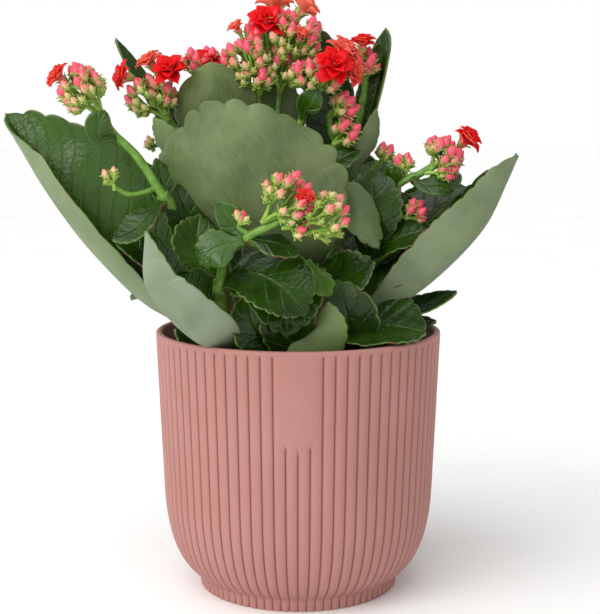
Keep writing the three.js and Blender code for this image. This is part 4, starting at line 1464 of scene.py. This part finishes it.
class Patterns:
    """The repeated small shapes, each modelled once at a length of 1 and pointing up +Z."""

    def __init__(self, palette: Palette) -> None:
        """Models the bud, the sepal and the petal."""
        self.bud = self.model_bud(palette.bud)
        self.sepal = self.model_blade("sepal", 0.2, 0.4, 0.06, [palette.sepal] * 3, 0.0)
        self.petal = self.model_blade("petal", 0.37, 0.56, 0.05,
                                      [palette.petal, palette.petal_back, palette.petal], 0.16)

    def model_bud(self, skin: Material) -> Piece:
        """A drop of rolled petals: fullest below its middle, with a blunt point and a twist."""
        bpy.ops.mesh.primitive_uv_sphere_add(segments=8, ring_count=6, radius=0.5)
        bud = active_piece("pattern_bud")
        points = read_points(bud)
        height = points[:, 2] + 0.5
        radius = np.hypot(points[:, 0], points[:, 1])
        angle = np.arctan2(points[:, 1], points[:, 0]) + height * 0.5
        full = 0.37 * np.sin(math.pi * np.clip(height, 0, 1) ** 0.85) ** 0.75
        ridges = 1 + 0.07 * np.cos(4 * angle)
        reach = np.where(radius > 1e-6, full * ridges, 0)
        write_points(bud, np.column_stack([reach * np.cos(angle), reach * np.sin(angle), height]))
        bud.data.materials.append(skin)
        shade_smooth(bud)
        return bud

    def model_blade(
        self, name: str, half: float, widest: float, thick: float,
        skins: list[Material], cup: float,
    ) -> Piece:
        """A pointed, cupped blade such as a petal, along +Z with its face towards -Y.

        Args:
            name: The pattern's name.
            half: Half width for a length of 1.
            widest: Share of the length at which it is widest.
            thick: Thickness.
            skins: Materials of the face, the back and the edge.
            cup: How far its sides curl towards the face.

        Returns:
            The pattern object.
        """
        bpy.ops.mesh.primitive_grid_add(x_subdivisions=2, y_subdivisions=5, size=2)
        blade = active_piece("pattern_" + name)
        grid = read_points(blade)
        share = (grid[:, 1] + 1) / 2
        rise = np.sin(math.pi / 2 * np.minimum(share / widest, 1)) ** 0.9
        fall = np.cos(math.pi / 2 * np.maximum((share - widest) / (1 - widest), 0)) ** 0.6
        width = np.maximum(half * rise * fall, 0.03)
        across = grid[:, 0] * width
        curl = -cup * np.abs(grid[:, 0]) ** 1.6 * rise - 0.1 * np.sin(math.pi * share)
        tip = 0.12 * np.maximum(share - 0.8, 0) / 0.2
        write_points(blade, np.column_stack([across, curl + tip, share]))
        add_flesh(blade, thick, skins)
        apply_modifiers(blade)
        shade_smooth(blade)
        return blade

    def copy(self, pattern: Piece, place: Matrix, ripe: float = 0.0) -> Piece:
        """Copies a pattern with a mesh of its own.

        Args:
            pattern: The pattern.
            place: Where the copy goes, in metres.
            ripe: The copy's ripeness, for its colour.

        Returns:
            The copy.
        """
        twin = bpy.data.objects.new(pattern.name + "_copy", pattern.data.copy())
        twin.data.transform(place)
        set_attribute(twin, "ripe", ripe)
        bpy.context.collection.objects.link(twin)
        return twin

    def remove(self) -> None:
        """Takes the patterns themselves out of the scene."""
        for pattern in (self.bud, self.sepal, self.petal):
            bpy.data.objects.remove(pattern)


def aimed(direction: Vector, spin: float, middle: Vector, scale: Point) -> Matrix:
    """A matrix that turns +Z to a direction, spun about it, at a place and size in millimetres."""
    turn = direction.to_track_quat("Z", "Y").to_matrix().to_4x4()
    size = Matrix.Diagonal((*[s * MM for s in scale], 1.0))
    return Matrix.Translation(middle * MM) @ turn @ Matrix.Rotation(spin, 4, "Z") @ size


@dataclass
class FlowerHeads:
    """Builds the flower heads from cymes of buds and open double flowers."""

    palette: Palette
    patterns: Patterns
    bud_length: float = 3.5         # of a green bud, in mm
    bud_growth: float = 3.9         # until it opens
    scatter: float = 0.9            # how far a bud strays to each side
    # Whorls from the outside in: petals, tilt from the axis, length, and lift up the axis.
    whorls: tuple[tuple[int, float, float, float], ...] = (
        (5, 80, 0.92, 0.0), (5, 62, 0.88, 0.07), (4, 44, 0.78, 0.13), (3, 26, 0.62, 0.17),
        (3, 10, 0.45, 0.2))

    def build(self, head: Head, seed: int) -> Piece:
        """Builds one head as one piece.

        Args:
            head: Its description.
            seed: Sets the jitter of its buds.

        Returns:
            The finished piece.
        """
        dice = random.Random(seed)
        strands: list[Strand] = []
        bits: list[Piece] = []
        for cyme in head.cymes:
            self.grow_cyme(cyme, head, dice, strands, bits)
        for floret in head.florets:
            self.grow_floret(floret, head, dice, strands, bits)
        piece = grow_strands(f"flowers_{head.name}", strands, 1)
        piece.data.materials.append(self.palette.pedicel)
        select_only([piece, *bits])
        bpy.ops.object.join()
        nodes = [f"flower_head_{head.name}"] if head.in_cad else []
        return settle(piece, nodes)

    def grow_cyme(self, cyme: Cyme, head: Head, dice: random.Random,
                  strands: list[Strand], bits: list[Piece]) -> None:
        """Adds a cyme's branches, pedicels, sepals and buds."""
        base, crown = Vector(cyme.base), Vector(cyme.crown)
        axis = crown - base
        length = axis.length
        axis.normalize()
        middle = base + axis * length * 0.56
        hubs = self.hubs(cyme, base, axis, length)
        for hub in hubs:
            strands.append(Strand(GrownLine([base - axis, (base + hub) / 2 + axis * 0.4, hub]),
                                  (1.25, 1.0, 0.8), steps=4))
        limit = math.cos(math.radians(cyme.spread))
        for i in range(cyme.buds):
            cosine = 1 - (i + 0.5) / cyme.buds * (1 - limit)
            sine = math.sqrt(max(1 - cosine * cosine, 0))
            out = around(axis, i * GOLDEN_ANGLE + dice.uniform(-0.3, 0.3))
            tip = middle + axis * cosine * length * 0.44 + out * sine * cyme.radius
            tip += Vector([dice.uniform(-1, 1) for _ in range(3)]) * self.scatter
            if any((tip - Vector(f.middle)).length < f.width * 0.3 for f in head.florets):
                continue
            ripe = min(max(cyme.ripeness + 0.5 * cosine + dice.uniform(-0.22, 0.2), 0), 1)
            size = self.bud_length + self.bud_growth * ripe
            hub = min(hubs, key=lambda h: (h - tip).length)
            aim = ((tip - hub).normalized() + axis * 0.35 + Vector((0, 0, 0.2))).normalized()
            foot = tip - aim * size
            self.grow_bud(foot, aim, size, ripe, hub, dice, strands, bits)

    def hubs(self, cyme: Cyme, base: Vector, axis: Vector, length: float) -> list[Vector]:
        """Where the cyme's first branches fork into pedicels."""
        count = max(1, min(5, cyme.buds // 4))
        ring = [base + axis * length * 0.3 + around(axis, k * 2 * math.pi / count + 0.6)
                * cyme.radius * 0.38 for k in range(count)]
        return ring if count > 1 else [base + axis * length * 0.2]

    def grow_bud(self, foot: Vector, aim: Vector, size: float, ripe: float, hub: Vector,
                 dice: random.Random, strands: list[Strand],
                 bits: list[Piece]) -> None:
        """Adds one bud with its sepals and its pedicel."""
        sag = (hub + foot) / 2 + (foot - hub).cross(aim).cross(aim) * 0.06
        strands.append(Strand(GrownLine([hub, sag, foot + aim * 0.4]), (0.7, 0.62, 0.85), steps=4))
        girth = size * (0.86 + 0.12 * ripe)
        bits.append(self.patterns.copy(
            self.patterns.bud, aimed(aim, dice.uniform(0, 6), foot, (girth, girth, size)), ripe))
        for k in range(4):
            self.grow_sepal(foot, aim, k * math.pi / 2 + dice.uniform(-0.2, 0.2),
                            size * 0.5 + 1.4, girth, dice.uniform(20, 38), bits)

    def grow_sepal(self, foot: Vector, aim: Vector, spin: float, length: float, girth: float,
                   lean: float, bits: list[Piece]) -> None:
        """Adds one narrow sepal that hugs the base of a bud or flower."""
        out = around(aim, spin)
        way = (aim * math.cos(math.radians(lean)) + out * math.sin(math.radians(lean))).normalized()
        place = facing_matrix(foot + out * girth * 0.2 - aim * 0.1, way, out, length)
        bits.append(self.patterns.copy(self.patterns.sepal, place))

    def grow_floret(self, floret: Floret, head: Head, dice: random.Random,
                    strands: list[Strand], bits: list[Piece]) -> None:
        """Adds an open flower: whorls of petals round its middle, on a tube with sepals."""
        middle, aim = Vector(floret.middle), Vector(floret.facing).normalized()
        size = floret.width / 2
        foot = middle - aim * size * 0.75
        nearest = min((Vector(c.base) for c in head.cymes), key=lambda b: (b - foot).length)
        bend = (nearest + foot) / 2 - aim * 1.0
        strands.append(Strand(GrownLine([nearest, bend, foot]), (0.9, 0.8, 1.0), steps=6))
        tube = aimed(aim, 0.0, foot, (size * 0.75, size * 0.75, size * 0.95))
        bits.append(self.patterns.copy(self.patterns.bud, tube, 0.75))
        for k in range(4):
            self.grow_sepal(foot, aim, k * math.pi / 2 + 0.4, size * 0.7, size * 0.7, 26, bits)
        for row, (count, tilt, length, lift) in enumerate(self.whorls):
            for k in range(count):
                spin = 2 * math.pi * (k / count) + row * 0.63 + dice.uniform(-0.16, 0.16)
                lean = math.radians((tilt + dice.uniform(-8, 8)) * (0.35 + 0.65 * floret.opening))
                out = around(aim, spin)
                way = (aim * math.cos(lean) + out * math.sin(lean)).normalized()
                root = middle - aim * size * (0.28 - lift) + out * size * 0.08
                look = (aim * math.sin(lean) - out * math.cos(lean)).normalized()
                place = facing_matrix(root, way, -look, size * length * dice.uniform(0.94, 1.06))
                bits.append(self.patterns.copy(self.patterns.petal, place, floret.warmth))


def around(axis: Vector, angle: float) -> Vector:
    """A unit vector across an axis, at an angle round it."""
    first = axis.orthogonal().normalized()
    second = axis.cross(first)
    return first * math.cos(angle) + second * math.sin(angle)


def facing_matrix(foot: Vector, way: Vector, back: Vector, length: float) -> Matrix:
    """A matrix that lays a blade from foot along way, with its back towards a direction.

    Args:
        foot: Where the blade starts, in millimetres.
        way: The direction of its length.
        back: The direction that its back faces.
        length: Its length in millimetres.

    Returns:
        The matrix, in metres.
    """
    depth = (back - way * back.dot(way)).normalized()
    width = depth.cross(way).normalized()
    turn = Matrix((width, depth, way)).transposed().to_4x4()
    return Matrix.Translation(foot * MM) @ turn @ Matrix.Scale(length * MM, 4)


# --- studio -----------------------------------------------------------------------------------------
@dataclass
class Studio:
    """The floor, the lights and the camera. Places in metres."""

    palette: Palette
    camera_place: Point = (0.0009, -0.650, 0.2285)
    camera_dip: float = 7.87        # degrees below the horizon
    lens: float = 77.86
    room_level: float = 0.5         # of the ceiling; the walls have 1
    key_level: float = 2.2
    key_spread: float = 75.0        # degrees of sky that the key light fills
    key_way: Point = (0.62, 0.72, -1.1)
    fill_place: Point = (-1.2, -1.0, 0.9)
    fill_aim: Point = (0.0, 0.0, 0.18)
    fill_size: float = 0.9
    fill_power: float = 8.0

    def build(self) -> None:
        """Sets up the whole studio."""
        self.lay_floor()
        self.hang_key()
        self.hang_fill()
        bpy.context.scene.world = self.surround()
        bpy.context.scene.view_settings.view_transform = "Standard"
        data = bpy.data.cameras.new("camera")
        data.lens = self.lens
        data.sensor_width = 36
        camera = bpy.data.objects.new("camera", data)
        camera.location = self.camera_place
        camera.rotation_euler = (math.radians(90 - self.camera_dip), 0, 0)
        bpy.context.collection.objects.link(camera)
        bpy.context.scene.camera = camera

    def surround(self) -> bpy.types.World:
        """A studio room as a world: white walls all round under a dimmer ceiling."""
        world = bpy.data.worlds.new("studio")
        world.use_nodes = True
        tree = world.node_tree
        way = add_node(tree, "TexCoord")
        split = add_node(tree, "SeparateXYZ", {}, {"Vector": way.outputs["Generated"]})
        height = arithmetic(tree, "ABSOLUTE", split.outputs["Z"])
        level = ramp(tree, height, 0.16, 0.5, 1.0, self.room_level)
        background = tree.nodes["Background"]
        background.inputs["Color"].default_value = srgb("#ffffff")
        tree.links.new(level, background.inputs["Strength"])
        return world

    def lay_floor(self) -> None:
        """Lays a wide pale floor under the pot."""
        bpy.ops.mesh.primitive_plane_add(size=24)
        floor = active_piece("studio_floor")
        floor.data.materials.append(self.palette.floor)

    def hang_key(self) -> None:
        """Hangs the main light: wide, soft and even, from the front and the left."""
        data = bpy.data.lights.new("key", "SUN")
        data.energy = self.key_level
        data.angle = math.radians(self.key_spread)
        self.hang(data, (0.0, 0.0, 0.0), Vector(self.key_way))

    def hang_fill(self) -> None:
        """Hangs a square soft light at the left front, which puts a sheen on the leaves."""
        data = bpy.data.lights.new("fill", "AREA")
        data.size = self.fill_size
        data.energy = self.fill_power
        self.hang(data, self.fill_place, Vector(self.fill_aim) - Vector(self.fill_place))

    def hang(self, data: bpy.types.Light, place: Point, way: Vector) -> None:
        """Hangs a light at a place so that it shines a given way."""
        light = bpy.data.objects.new(data.name, data)
        light.location = place
        light.rotation_euler = way.to_track_quat("-Z", "Y").to_euler()
        bpy.context.collection.objects.link(light)


def main() -> None:
    """Builds the plant, piece by piece, and the studio round it."""
    logging.basicConfig(level=logging.INFO, format="%(name)s %(message)s")
    palette = Palette()
    CoverPot(palette).build()
    PottingMix(palette).build()
    heights: dict[str, list[float]] = {}
    for leaf in LEAVES:
        heights.setdefault(leaf.stem, []).append(leaf.height)
    StemsAndStalks(palette, heights).build()
    foliage = Foliage(palette)
    for seed, leaf in enumerate(LEAVES):
        foliage.build(leaf, seed)
    patterns = Patterns(palette)
    flowers = FlowerHeads(palette, patterns)
    for seed, head in enumerate(HEADS):
        flowers.build(head, seed)
    patterns.remove()
    Studio(palette).build()


if __name__ == "__main__":
    main()
